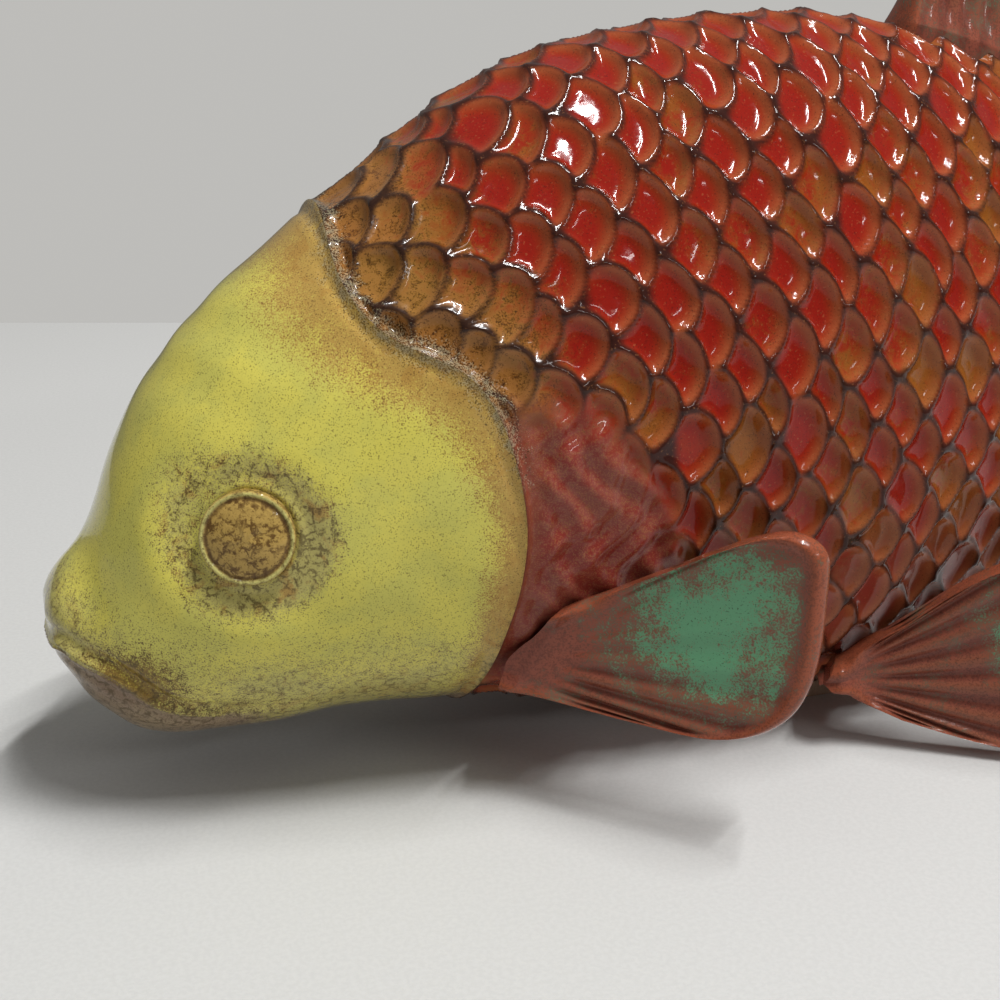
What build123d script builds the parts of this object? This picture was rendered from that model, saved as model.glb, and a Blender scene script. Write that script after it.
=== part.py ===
from build123d import *
from math import cos, pi, sin, sqrt
import os

# A glazed earthenware carp, about a foot long, that rests on a flat under its belly.
# The trunk is pressed in two scaled halves that meet on the middle plane. The head, the eyes,
# the fins and the foot are made apart and luted on with slip before the firing.
# +X runs from the snout to the tail, +Z is up, and the fish's left side is at -Y.
# The origin is the middle of the foot, on the surface that it stands on.

# Whole figure
fish_length = 300.0
body_height = 121.0
body_width = 72.0
snout_to_foot = 125.0
wall = 5.0
waist_share = 0.46
hollow_facets = 28
overrun = 30.0

# Scales
scale_relief = 1.7
scale_courses = 16
scales_per_side = 13
facets_per_scale = 4
cliff_lean = 0.35
scallop_share = 0.56
cusp_height_share = 0.4

# Smooth shoulder behind the gill cover, as places and reaches along the trunk and round it
shoulder_swell = 0.9
shoulder_place_shares = (0.075, 0.64)
shoulder_reach_shares = (0.085, 0.17)

# Gill line, seen from the side
gill_step = 0.8
gill_line_shares = (
    (0.1570, 0.775),
    (0.1555, 0.705),
    (0.1730, 0.640),
    (0.2060, 0.598),
    (0.2275, 0.495),
    (0.2335, 0.400),
    (0.2286, 0.273),
    (0.2190, 0.130),
    (0.2130, 0.050),
)
gill_facets = 14

# Mouth crease, from its left corner to the middle: snout station, and turn from back to belly
mouth_radius = 1.3
mouth_facets = 6
mouth_stations = (4, 3, 2)
mouth_turn_shares = (0.80, 0.815, 0.86)
mouth_front_share = 0.5
mouth_end_share = 0.3
mouth_steps = 12

# Eyes
eye_place_shares = (0.1265, 0.379)
eye_radius = 6.1
eye_depth = 3.0
eye_crown = 1.1
eye_rim_width = 0.9
eye_rim_height = 0.5
eye_groove = 0.4
eye_seat_proud = 0.6
eye_yaw = 17.0
eye_pitch = 8.0
brow_radius = 24.0
brow_proud = 2.0

# Foot and vent
foot_length = 60.0
foot_width = 21.0
foot_height = 3.0
vent_radius = 3.0
vent_offset = 16.0

# Pectoral fins, behind the gills
pectoral_root_shares = (0.2467, 0.375, 0.2066)
pectoral_length = 51.0
pectoral_width = 31.0
pectoral_thickness = 4.4
pectoral_rays = 8
pectoral_spread = 42.0
pectoral_rise = 12.7
pectoral_lean = -5.6
pectoral_neck = 12.8
pectoral_seat_shares = ((-0.08, -0.18), (0.16, 0.265))
pectoral_rim_shares = (
    (0.25, -0.325),
    (0.41, -0.400),
    (0.585, -0.450),
    (0.745, -0.300),
    (0.88, -0.020),
    (1.00, 0.390),
    (1.00, 0.510),
    (0.93, 0.545),
    (0.77, 0.540),
    (0.50, 0.415),
)

# Pelvic fins, low on the belly
pelvic_root_shares = (0.430, 0.347, 0.1157)
pelvic_length = 44.0
pelvic_width = 33.0
pelvic_thickness = 4.4
pelvic_rays = 9
pelvic_spread = 32.0
pelvic_rise = 7.2
pelvic_lean = -1.5
pelvic_neck = 9.0
pelvic_seat_shares = ((0.03, -0.145), (0.025, 0.05))
pelvic_rim_shares = (
    (0.24, -0.295),
    (0.52, -0.425),
    (0.77, -0.455),
    (0.955, -0.180),
    (1.00, 0.180),
    (0.91, 0.515),
    (0.77, 0.560),
    (0.51, 0.440),
    (0.265, 0.210),
)

# Tenon, rolled rim and rays of the paired fins
fin_bury = 1.5
fin_neck_share = 0.8
fin_rim_width = 2.8
fin_rib_shares = (0.55, 0.74, 0.4)

# Dorsal fin, which stands along the back
dorsal_height = 25.0
dorsal_sweep = 15.0
dorsal_thickness = 6.0
dorsal_rays = 10
dorsal_span_shares = (0.52, 0.90)
dorsal_crest_shares = (0.30, 0.88, 1.00, 0.90, 0.77, 0.67, 0.60, 0.54, 0.46)

# Anal fin, which hangs under the rear of the belly
anal_height = 21.0
anal_sweep = 13.0
anal_thickness = 5.0
anal_rays = 6
anal_span_shares = (0.70, 0.86)
anal_crest_shares = (0.45, 0.95, 1.00, 0.80, 0.50)

# Tail fin, from its lower lobe to its upper
tail_thickness = 6.0
tail_seat_share = 0.88
tail_rays = 11
tail_edge_shares = (
    (0.880, 0.290),
    (0.945, 0.215),
    (0.988, 0.225),
    (0.975, 0.390),
    (0.953, 0.570),
    (0.977, 0.770),
    (1.000, 0.955),
    (0.955, 0.950),
    (0.885, 0.845),
)

# Fins on the middle plane
median_bury = 3.5
median_rib_shares = (0.6, 0.9, 0.35)

# Stations from front to rear: back x, back z, belly x, belly z, half width.
# They are shares of fish_length, body_height, fish_length, body_height and half of body_width.
snout_station_shares = (
    (0.0028, 0.279, 0.0008, 0.255, 0.097),
    (0.0132, 0.315, 0.0101, 0.208, 0.280),
    (0.0277, 0.356, 0.0290, 0.134, 0.420),
    (0.0420, 0.445, 0.0564, 0.088, 0.550),
    (0.0660, 0.556, 0.0946, 0.079, 0.681),
    (0.1023, 0.657, 0.1425, 0.081, 0.789),
)
trunk_station_shares = (
    (0.1462, 0.747, 0.1955, 0.078, 0.868),
    (0.2369, 0.915, 0.2853, 0.038, 0.970),
    (0.3270, 0.983, 0.3730, 0.000, 1.000),
    (0.4130, 1.000, 0.4600, 0.004, 0.972),
    (0.5000, 0.971, 0.5430, 0.050, 0.861),
    (0.5870, 0.901, 0.6230, 0.157, 0.694),
    (0.6730, 0.810, 0.7030, 0.289, 0.514),
    (0.7470, 0.748, 0.7630, 0.380, 0.375),
    (0.8000, 0.723, 0.8030, 0.417, 0.306),
)
nape_overlap_shares = (0.0, 0.075, 0.15)


def side_point(x_share, z_share):
    """A point on the middle plane, from shares of the fish's length and height."""
    return Vector(x_share * fish_length - snout_to_foot, 0, z_share * body_height)


class Oval:
    """A section through the body: a half ellipse over its waist and another under it."""

    def __init__(self, back, belly, half_width):
        self.back, self.belly, self.half_width = back, belly, half_width
        self.middle = belly + (back - belly) * waist_share
        self.upper, self.lower = back - self.middle, belly - self.middle

    def point(self, turn, height=0.0):
        """A point of the section, or over it: a turn of 0 is the back, 1 is the belly.

        A turn from 0 to 1 goes down the left side, and from 1 to 2 up the right."""
        rise, reach = cos(pi * turn), sin(pi * turn)
        half = self.upper if rise >= 0 else self.lower
        rise = abs(rise)
        place = self.middle + half * rise - Vector(0, self.half_width * reach, 0)
        outward = half * (rise / half.length**2) - Vector(0, reach / self.half_width, 0)
        return place + outward.normalized() * height

    def ring(self, facets, turns=2, height=0.0):
        """Points all round the section, or down its left side alone when turns is 1."""
        count = facets + 1 if turns == 1 else facets
        return [self.point(turns * k / facets, height) for k in range(count)]

    def grown(self, step):
        """The same section, larger by a step all round."""
        rise = self.upper.normalized() * step
        return Oval(self.back + rise, self.belly - rise, self.half_width + step)


class BodyForm:
    """The smooth form of the trunk, which runs through its stations."""

    def __init__(self, stations):
        with BuildLine(mode=Mode.PRIVATE) as back:
            Spline(*[side_point(s[0], s[1]) for s in stations])
        with BuildLine(mode=Mode.PRIVATE) as belly:
            Spline(*[side_point(s[2], s[3]) for s in stations])
        with BuildLine(mode=Mode.PRIVATE) as flank:
            Spline(*[side_point(s[0], 0) - Vector(0, s[4] * body_width / 2, 0) for s in stations])
        self.back, self.belly, self.flank = back.edge(), belly.edge(), flank.edge()

    def section(self, along):
        """The section at a share of the way from the nape to the tail."""
        return Oval(self.back @ along, self.belly @ along, -(self.flank @ along).Y)


def station_section(station):
    """The section of one station of a table."""
    back_x, back_z, belly_x, belly_z, width_share = station
    back, belly = side_point(back_x, back_z), side_point(belly_x, belly_z)
    return Oval(back, belly, width_share * body_width / 2)


def polygon(points):
    """A flat face through the points."""
    return Face(Wire.make_polygon(points, close=True))


def faceted_solid(rings, on_middle_plane=False, flips=None):
    """A closed solid with two flat facets between each pair of points on neighbouring rings.

    Half rings end on the middle plane, where one flat face closes them."""
    count = len(rings[0])
    cells = count - 1 if on_middle_plane else count
    faces = [polygon(rings[0]), polygon(rings[-1])]
    for row, (front, rear) in enumerate(zip(rings, rings[1:])):
        for k in range(cells):
            n = (k + 1) % count
            if flips and flips(row, k):
                faces += [polygon([front[k], rear[k], front[n]]), polygon([front[n], rear[k], rear[n]])]
            else:
                faces += [polygon([front[k], rear[k], rear[n]]), polygon([front[k], rear[n], front[n]])]
    if on_middle_plane:
        faces.append(polygon([r[0] for r in rings] + [r[-1] for r in reversed(rings)]))
    return Solid(Shell(faces))


trunk_form = BodyForm(trunk_station_shares)


def smooth_share(along, turn):
    """How much of the shoulder's smooth form a place has: 1 at its middle and 0 outside it."""
    a = (along - shoulder_place_shares[0]) / shoulder_reach_shares[0]
    t = (turn - shoulder_place_shares[1]) / shoulder_reach_shares[1]
    return sqrt(max(0.0, 1 - (a * a + t * t)))


def scale_edge(course, lean, height_share):
    """The scalloped rear edge of one course of scales, down the left side."""
    pitch = 1 / (scale_courses + 1)
    steps = scales_per_side * facets_per_scale
    scallop = []
    for facet in range(facets_per_scale):
        across = (facet / facets_per_scale + course % 2 / 2) % 1
        bulge = sqrt(1 - (2 * across - 1) ** 2)
        along = (course + scallop_share * bulge) * pitch + lean / fish_length
        relief = scale_relief * height_share * (cusp_height_share + (1 - cusp_height_share) * bulge)
        scallop.append((along, trunk_form.section(along), relief))
    points = []
    for k in range(steps + 1):
        along, section, relief = scallop[k % facets_per_scale]
        plain = smooth_share(along, k / steps)
        points.append(section.point(k / steps, relief * (1 - plain) + shoulder_swell * plain))
    return points


def scaled_half():
    """The left half of the trunk, solid, under its courses of overlapping scales."""
    steps = scales_per_side * facets_per_scale
    rings = [trunk_form.section(0).ring(steps, 1)]
    for course in range(scale_courses):
        rings.append(scale_edge(course, 0, 1))
        rings.append(scale_edge(course, cliff_lean, 0))
    rings.append(trunk_form.section(1).ring(steps, 1))
    half_scale = facets_per_scale // 2
    return faceted_solid(rings, True, lambda row, k: (k // half_scale + row // 2) % 2 == 0)


def ribbed_fin(roots, tips, normal, root_halves, tip_half, neck, rim_width, rib_shares):
    """A thick fin whose ridges run from its neck to its edge, one ridge on every other section.

    Each section has a root, a neck, a dished middle, a rolled rim where there is one, and an edge.
    The half thicknesses at the valleys, the ridges and the edge are shares of tip_half."""
    valley_share, ray_share, edge_share = rib_shares
    last = len(roots) - 1
    rings = []
    for k, (root, tip, root_half) in enumerate(zip(roots, tips, root_halves)):
        ray = tip - root
        along = ray.normalized()
        body = ray_share if k % 2 else valley_share
        rim = 1 if rim_width else body
        if k in (0, last):
            body = rim = edge_share
        elif k in (1, last - 1) and rim_width:
            body = 1
        crest = rim_width / 2 if rim_width else ray.length * edge_share / 2
        inner = rim_width if rim_width else ray.length * edge_share
        side = [(root, root_half)]
        if neck:
            side.append((root + along * neck, root_half))
        side += [
            (root + along * (neck + (ray.length - neck) * edge_share), body * tip_half),
            (tip - along * inner, body * tip_half),
            (tip - along * crest, rim * tip_half),
            (tip, edge_share * tip_half),
        ]
        front = [place + normal * half for place, half in side]
        rear = [place - normal * half for place, half in reversed(side)]
        rings.append(front + rear)
    return faceted_solid(rings, flips=lambda row, facet: facet >= len(rings[0]) // 2)


def fan_shares(rays, rim_share=0.0):
    """Where the sections of a fin with this many rays stand, as shares of its root or its edge."""
    steps = 2 * rays
    shares = [k / steps for k in range(steps + 1)]
    if rim_share:
        shares = [0.0] + [rim_share + (1 - 2 * rim_share) * share for share in shares] + [1.0]
    return shares


def paddle_fin(plane, length, width, thickness, neck, rays, seat_shares, rim_shares):
    """A paired fin, a paddle with a rolled rim made on its own plane, and its tenon."""
    seat = [plane.from_local_coords((a * length - fin_bury, b * width)) for a, b in seat_shares]
    with BuildLine(mode=Mode.PRIVATE) as edge:
        Spline(*[plane.from_local_coords((a * length, b * width)) for a, b in rim_shares])
    shares = fan_shares(rays, fin_rim_width / edge.edge().length)
    roots = [seat[0] + (seat[1] - seat[0]) * share for share in shares]
    tips = [edge.edge() @ share for share in shares]
    neck_half = thickness / 2 * fin_neck_share
    fin = ribbed_fin(
        roots,
        tips,
        plane.z_dir,
        [neck_half] * len(shares),
        thickness / 2,
        neck,
        fin_rim_width,
        fin_rib_shares,
    )
    ends = [(roots[-1], tips[-1]), (roots[0], tips[0])]
    corners = [roots[0], roots[-1]]
    corners += [root + (tip - root).normalized() * neck for root, tip in ends]
    rings = [[corner + plane.z_dir * half for corner in corners] for half in (-neck_half, neck_half)]
    return fin, faceted_solid(rings)


def fin_plane(root_shares, spread, rise, lean):
    """The plane of a left fin: x out along its middle, y across it, z out of its front face."""
    x_share, y_share, z_share = root_shares
    root = side_point(x_share, z_share) - Vector(0, y_share * body_width, 0)
    along = Vector(1, 0, 0).rotate(Axis.Y, -rise).rotate(Axis.Z, -spread)
    up = Vector(0, 0, 1).rotate(Axis((0, 0, 0), along), lean)
    return Plane(origin=root, x_dir=along, z_dir=along.cross(up))


def crest_fin(line, span_shares, crest_shares, height, sweep, thickness, rays):
    """A fin that stands on a line of the trunk, swept to the rear. A negative height hangs it."""
    first, last = span_shares
    sunk = Vector(0, 0, -median_bury if height > 0 else median_bury)
    reach = len(crest_shares) - 1
    with BuildLine(mode=Mode.PRIVATE) as edge:
        Spline(
            *[
                (line @ (first + (last - first) * k / reach)) + Vector(sweep, 0, height) * share
                for k, share in enumerate(crest_shares)
            ]
        )
    shares = fan_shares(rays)
    roots = [(line @ (first + (last - first) * share)) + sunk for share in shares]
    tips = [edge.edge() @ share for share in shares]
    halves = [thickness / 2] * len(shares)
    return ribbed_fin(
        roots,
        tips,
        Vector(0, -1, 0),
        halves,
        thickness / 2,
        median_bury,
        0,
        median_rib_shares,
    )


def tail_shape():
    """The tail fin: its root covers the end of the trunk and fans out to two lobes."""
    end = trunk_form.section(1)
    with BuildLine(mode=Mode.PRIVATE) as edge:
        Spline(*[side_point(x_share, z_share) for x_share, z_share in tail_edge_shares])
    shares = fan_shares(tail_rays)
    turns = [1 / 2 - tail_seat_share * (share - 1 / 2) for share in shares]
    outline = [end.point(turn) for turn in turns]
    roots = [Vector(p.X, 0, p.Z) for p in outline]
    tips = [edge.edge() @ share for share in shares]
    return ribbed_fin(
        roots,
        tips,
        Vector(0, -1, 0),
        [-p.Y for p in outline],
        tail_thickness / 2,
        0,
        0,
        median_rib_shares,
    )


# Fins
with BuildPart() as pectoral_fin_left:
    pectoral_plane = fin_plane(pectoral_root_shares, pectoral_spread, pectoral_rise, pectoral_lean)
    pectoral_shape, pectoral_tenon = paddle_fin(
        pectoral_plane,
        pectoral_length,
        pectoral_width,
        pectoral_thickness,
        pectoral_neck,
        pectoral_rays,
        pectoral_seat_shares,
        pectoral_rim_shares,
    )
    add(pectoral_shape)
with BuildPart() as pectoral_fin_right:
    mirror(pectoral_fin_left.part, about=Plane.XZ)
with BuildPart() as pelvic_fin_left:
    pelvic_plane = fin_plane(pelvic_root_shares, pelvic_spread, pelvic_rise, pelvic_lean)
    pelvic_shape, pelvic_tenon = paddle_fin(
        pelvic_plane,
        pelvic_length,
        pelvic_width,
        pelvic_thickness,
        pelvic_neck,
        pelvic_rays,
        pelvic_seat_shares,
        pelvic_rim_shares,
    )
    add(pelvic_shape)
with BuildPart() as pelvic_fin_right:
    mirror(pelvic_fin_left.part, about=Plane.XZ)
with BuildPart() as dorsal_fin:
    add(
        crest_fin(
            trunk_form.back,
            dorsal_span_shares,
            dorsal_crest_shares,
            dorsal_height,
            dorsal_sweep,
            dorsal_thickness,
            dorsal_rays,
        )
    )
with BuildPart() as anal_fin:
    add(
        crest_fin(
            trunk_form.belly,
            anal_span_shares,
            anal_crest_shares,
            -anal_height,
            anal_sweep,
            anal_thickness,
            anal_rays,
        )
    )
with BuildPart() as tail_fin:
    add(tail_shape())

# Foot, with the vent that lets steam out of the hollow in the firing
with BuildPart() as foot_slab:
    with BuildSketch():
        SlotOverall(foot_length, foot_width)
        with Locations((vent_offset, 0)):
            Circle(vent_radius, mode=Mode.SUBTRACT)
    extrude(amount=foot_height)

# Space in front of the gill line
with BuildPart() as gill_front:
    with BuildSketch(Plane.XZ):
        gill_points = [side_point(x, z) for x, z in gill_line_shares]
        with BuildLine(mode=Mode.PRIVATE):
            gill_curve = Spline(*[(p.X, p.Z) for p in gill_points])
        with BuildLine():
            Polyline(
                gill_curve @ 0 - (gill_curve % 0) * overrun,
                *[gill_curve @ (k / gill_facets) for k in range(gill_facets + 1)],
                gill_curve @ 1 + (gill_curve % 1) * overrun,
                (-snout_to_foot - overrun, -overrun),
                (-snout_to_foot - overrun, body_height + overrun),
                close=True,
            )
        make_face()
    extrude(amount=body_width, both=True)

# Trunk halves
hollow_shares = (0, 0.12, 0.25, 0.4, 0.55, 0.7, 0.85, 0.96)
hollow_rings = [trunk_form.section(share).ring(hollow_facets, 2, -wall) for share in hollow_shares]
with BuildPart() as below_foot:
    with BuildSketch(Plane.XY.offset(-overrun)):
        Rectangle(fish_length + overrun, body_width + overrun)
    extrude(amount=overrun + foot_height)
    with BuildSketch(Plane.XY.offset(foot_height)):
        with Locations((vent_offset, 0)):
            Circle(vent_radius)
    extrude(amount=2 * wall)
with BuildPart() as trunk_left:
    add(scaled_half(), clean=False)
    add(
        [
            faceted_solid(hollow_rings),
            gill_front.part,
            below_foot.part,
            pectoral_tenon,
            pelvic_tenon,
            dorsal_fin.part,
            anal_fin.part,
        ],
        clean=False,
        mode=Mode.SUBTRACT,
    )
    add(trunk_left.solids().sort_by(SortBy.VOLUME)[-1], clean=False, mode=Mode.REPLACE)
with BuildPart() as trunk_right:
    mirror(trunk_left.part, about=Plane.XZ)

# Eyes: a crowned disc inside a groove and a raised ring, on a plug that fills its socket
eye_outer = eye_radius + eye_rim_width
with BuildPart() as eye_form:
    with BuildSketch(Plane.XZ):
        with BuildLine():
            Polyline(
                (0, eye_crown),
                (0, -eye_depth),
                (eye_outer, -eye_depth),
                (eye_outer, 0),
                (eye_radius + eye_rim_width / 2, eye_rim_height),
                (eye_radius, -eye_groove),
            )
            TangentArc((0, eye_crown), (eye_radius, -eye_groove), tangent=(1, 0))
        make_face()
    revolve(axis=Axis.Z)


def section_face(section):
    """The face of an oval section, for lofting."""
    across = Vector(0, -1, 0)
    with BuildSketch(
        Plane(origin=section.middle, x_dir=across, z_dir=across.cross(section.upper)),
        mode=Mode.PRIVATE,
    ) as oval:
        with BuildLine():
            EllipticalCenterArc(
                (0, 0), section.half_width, section.upper.length, start_angle=0, arc_size=180
            )
            EllipticalCenterArc(
                (0, 0), section.half_width, section.lower.length, start_angle=180, arc_size=180
            )
        make_face()
    return oval.sketch.faces()[0]


# Head, cast hollow, with its brows, eye sockets and mouth crease
head_sections = [station_section(station) for station in snout_station_shares]
head_sections += [trunk_form.section(share).grown(gill_step) for share in nape_overlap_shares]
with BuildPart() as head_form:
    for section in head_sections:
        add(section_face(section))
    loft()

# The eye looks out of the cheek, along a ray from the middle plane
eye_look = Vector(0, -1, 0).rotate(Axis.Z, -eye_yaw).rotate(Axis.X, -eye_pitch)
eye_ray = Axis(side_point(*eye_place_shares), eye_look)
eye_place = head_form.part.find_intersection_points(eye_ray)[-1][0]
eye_seat = Plane(origin=eye_place, x_dir=eye_look.cross(Vector(0, 0, 1)), z_dir=eye_look)
with BuildPart(eye_seat.offset(brow_proud - brow_radius)) as brow:
    Sphere(brow_radius)
with BuildPart() as eye_left:
    add(eye_seat.offset(eye_seat_proud).location * eye_form.part)
with BuildPart() as eye_right:
    mirror(eye_left.part, about=Plane.XZ)

# The mouth crease runs from corner to corner round the snout
mouth_left = [head_sections[n].point(turn) for n, turn in zip(mouth_stations, mouth_turn_shares)]
mouth_chin = head_sections[mouth_stations[-1]].belly
mouth_lip = head_sections[mouth_stations[-1] - 1].belly
mouth_front = mouth_chin + (mouth_lip - mouth_chin) * mouth_front_share
mouth_right = [Vector(p.X, -p.Y, p.Z) for p in reversed(mouth_left)]
with BuildLine() as mouth_line:
    Spline(*mouth_left, mouth_front, *mouth_right)
mouth_rings = []
for k in range(mouth_steps + 1):
    share = k / mouth_steps
    deep = mouth_radius * (mouth_end_share + (1 - mouth_end_share) * sin(pi * share))
    across = Plane(origin=mouth_line.edge() @ share, x_dir=(0, 0, 1), z_dir=mouth_line.edge() % share)
    turns = [2 * pi * facet / mouth_facets for facet in range(mouth_facets)]
    mouth_rings.append([across.from_local_coords((deep * cos(t), deep * sin(t))) for t in turns])
with BuildPart() as head_hollow:
    for section in head_sections[2:]:
        add(section_face(section.grown(-wall)))
    loft()
with BuildPart() as head:
    add(head_form.part)
    add([brow.part, brow.part.mirror(Plane.XZ)])
    add(gill_front.part, mode=Mode.INTERSECT)
    add(
        [
            head_hollow.part,
            eye_left.part,
            eye_right.part,
            pectoral_tenon,
            pectoral_tenon.mirror(Plane.XZ),
            faceted_solid(mouth_rings),
        ],
        clean=False,
        mode=Mode.SUBTRACT,
    )
    add(head.solids().sort_by(SortBy.VOLUME)[-1], clean=False, mode=Mode.REPLACE)

os.makedirs("parts", exist_ok=True)
pieces = {
    "head": head,
    "trunk_left": trunk_left,
    "trunk_right": trunk_right,
    "eye_left": eye_left,
    "eye_right": eye_right,
    "pectoral_fin_left": pectoral_fin_left,
    "pectoral_fin_right": pectoral_fin_right,
    "pelvic_fin_left": pelvic_fin_left,
    "pelvic_fin_right": pelvic_fin_right,
    "dorsal_fin": dorsal_fin,
    "anal_fin": anal_fin,
    "tail_fin": tail_fin,
    "foot_slab": foot_slab,
}
for name, piece in pieces.items():
    piece.part.label = name
    export_step(piece.part, f"parts/{name}.step")
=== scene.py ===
import logging
import math
from dataclasses import dataclass, field
from enum import Enum
from typing import Any, Callable, Mapping, Sequence

import bpy
import numpy as np
from mathutils import Matrix, Quaternion, Vector


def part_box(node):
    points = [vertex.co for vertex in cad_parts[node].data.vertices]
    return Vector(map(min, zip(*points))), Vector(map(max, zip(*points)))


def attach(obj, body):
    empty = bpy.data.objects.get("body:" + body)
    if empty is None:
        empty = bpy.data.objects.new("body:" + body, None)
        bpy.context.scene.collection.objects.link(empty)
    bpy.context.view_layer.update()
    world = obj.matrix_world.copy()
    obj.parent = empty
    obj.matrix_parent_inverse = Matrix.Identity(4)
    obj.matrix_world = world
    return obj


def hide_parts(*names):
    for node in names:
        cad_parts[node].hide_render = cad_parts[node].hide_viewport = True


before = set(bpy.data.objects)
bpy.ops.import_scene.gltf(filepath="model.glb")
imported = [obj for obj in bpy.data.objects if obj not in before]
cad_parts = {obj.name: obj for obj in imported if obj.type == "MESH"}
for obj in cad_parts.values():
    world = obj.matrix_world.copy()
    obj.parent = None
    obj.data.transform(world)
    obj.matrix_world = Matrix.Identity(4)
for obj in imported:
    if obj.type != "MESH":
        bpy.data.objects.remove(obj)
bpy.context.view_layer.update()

# A glazed earthenware carp on a white table. +X runs from the snout to the tail, +Z is up, and the
# fish's left side is at -Y. Lengths are in metres. Only x, y and z where masks and waves are worked
# out, the distance behind the gill line, and what a name ends in _mm for, are in millimetres.

MM = 0.001
MERGE = 1e-6
Array = np.ndarray
Colour = tuple[float, float, float]
Thing = bpy.types.Object
Material = bpy.types.Material
Line = Callable[[Array], Array]
log = logging.getLogger("carp")


class Slot(Enum):
    """The names of the record's material slots."""

    HEAD = "head_glaze"
    EYE = "eye_glaze"
    SCALES = "scale_glaze"
    PAIRED_FINS = "paired_fin_glaze"
    MIDDLE_FINS = "middle_fin_glaze"


def smooth_step(values: Array, low: float, high: float) -> Array:
    """A soft step from 0 at low to 1 at high; low may be the larger."""
    share = np.clip((values - low) / (high - low), 0.0, 1.0)
    return share * share * (3.0 - 2.0 * share)


def hump(values: Array, middle: float, reach: float) -> Array:
    """A bell curve of height 1 round the middle."""
    return np.exp(-(((values - middle) / reach) ** 2))


def fade(values: Array, reach: float) -> Array:
    """What is 1 up to 0 and falls off beyond it."""
    return np.exp(-np.clip(values, 0, None) / reach)


def round_over(edge: Array, radius: float) -> Array:
    """The height of a round edge, from 0 at the edge itself to 1 a radius away."""
    return np.sqrt(np.clip(1 - (1 - np.clip(edge / radius, 0, 1)) ** 2, 0, 1))


def run_shares(points: Array) -> Array:
    """How far along a line each of its points lies, as shares of its length."""
    run = np.concatenate([[0.0], np.cumsum(np.linalg.norm(np.diff(points, axis=0), axis=1))])
    return run / run[-1]


def blurred(grid: Array, rounds: int) -> Array:
    """Softens a grid of heights by a small filter, first down and then across, several rounds."""
    for _ in range(2 * rounds):
        padded = np.pad(grid, ((1, 1), (0, 0)), mode="edge")
        grid = ((padded[:-2] + 2 * padded[1:-1] + padded[2:]) / 4).T
    return grid


def doubled(grid: Array) -> Array:
    """A grid with a point put in between each two, first down and then across."""
    for _ in range(2):
        fine = np.empty((2 * len(grid) - 1, grid.shape[1]))
        fine[::2] = grid
        fine[1::2] = (grid[:-1] + grid[1:]) / 2
        grid = fine.T
    return grid


class Curve:
    """A natural cubic spline through points at given places along it."""

    def __init__(self, places: Sequence[float], points: Array) -> None:
        """Works out the spline's second derivatives.

        Args:
            places: where each point lies along the curve, rising.
            points: one row for each point.
        """
        self.places = np.asarray(places, float)
        self.points = np.asarray(points, float)
        steps = np.diff(self.places)
        matrix = np.eye(len(self.places))
        known = np.zeros_like(self.points)
        slopes = np.diff(self.points, axis=0) / steps[:, None]
        for n in range(1, len(self.places) - 1):
            matrix[n, n - 1 : n + 2] = steps[n - 1], 2 * (steps[n - 1] + steps[n]), steps[n]
            known[n] = 6 * (slopes[n] - slopes[n - 1])
        self.bends = np.linalg.solve(matrix, known)

    @classmethod
    def by_chord(cls, points: Sequence[Sequence[float]]) -> "Curve":
        """A spline whose places are shares of the length of its chords."""
        return cls(run_shares(np.asarray(points, float)), points)

    def at(self, places: Array) -> Array:
        """Points of the spline.

        Args:
            places: an array of places of any shape.

        Returns:
            An array of that shape with one more axis, for the coordinates.
        """
        places = np.asarray(places, float)
        span = np.clip(np.searchsorted(self.places, places) - 1, 0, len(self.places) - 2)
        step = (self.places[span + 1] - self.places[span])[..., None]
        left = (self.places[span + 1] - places)[..., None] / step
        right = 1.0 - left
        bend = (left**3 - left) * self.bends[span] + (right**3 - right) * self.bends[span + 1]
        return left * self.points[span] + right * self.points[span + 1] + bend * step**2 / 6


class Signal:
    """A socket of a material's node, so that shader maths reads as an expression."""

    def __init__(self, recipe: "Recipe", socket: bpy.types.NodeSocket | None) -> None:
        """Keeps the socket and the recipe that it belongs to."""
        self.recipe = recipe
        self.socket = socket

    def _maths(self, operation: str, *values: Any) -> "Signal":
        """One Math node on these values."""
        return self.recipe.node("ShaderNodeMath", {"operation": operation}, dict(enumerate(values)))

    def __add__(self, other: Any) -> "Signal":
        """This value plus another."""
        return self._maths("ADD", self, other)

    def __sub__(self, other: Any) -> "Signal":
        """This value less another."""
        return self._maths("SUBTRACT", self, other)

    def __rsub__(self, other: Any) -> "Signal":
        """A number less this value."""
        return self._maths("SUBTRACT", other, self)

    def __mul__(self, other: Any) -> "Signal":
        """This value times another."""
        return self._maths("MULTIPLY", self, other)

    __radd__ = __add__

    def step(self, low: float, high: float) -> "Signal":
        """A soft step from 0 where this value is low to 1 where it is high."""
        ends = {"Value": self, "From Min": low, "From Max": high}
        return self.recipe.node("ShaderNodeMapRange", {"interpolation_type": "SMOOTHSTEP"}, ends)

    def limited(self) -> "Signal":
        """This value, kept between 0 and 1."""
        return self.recipe.node("ShaderNodeClamp", {}, {"Value": self})


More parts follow.
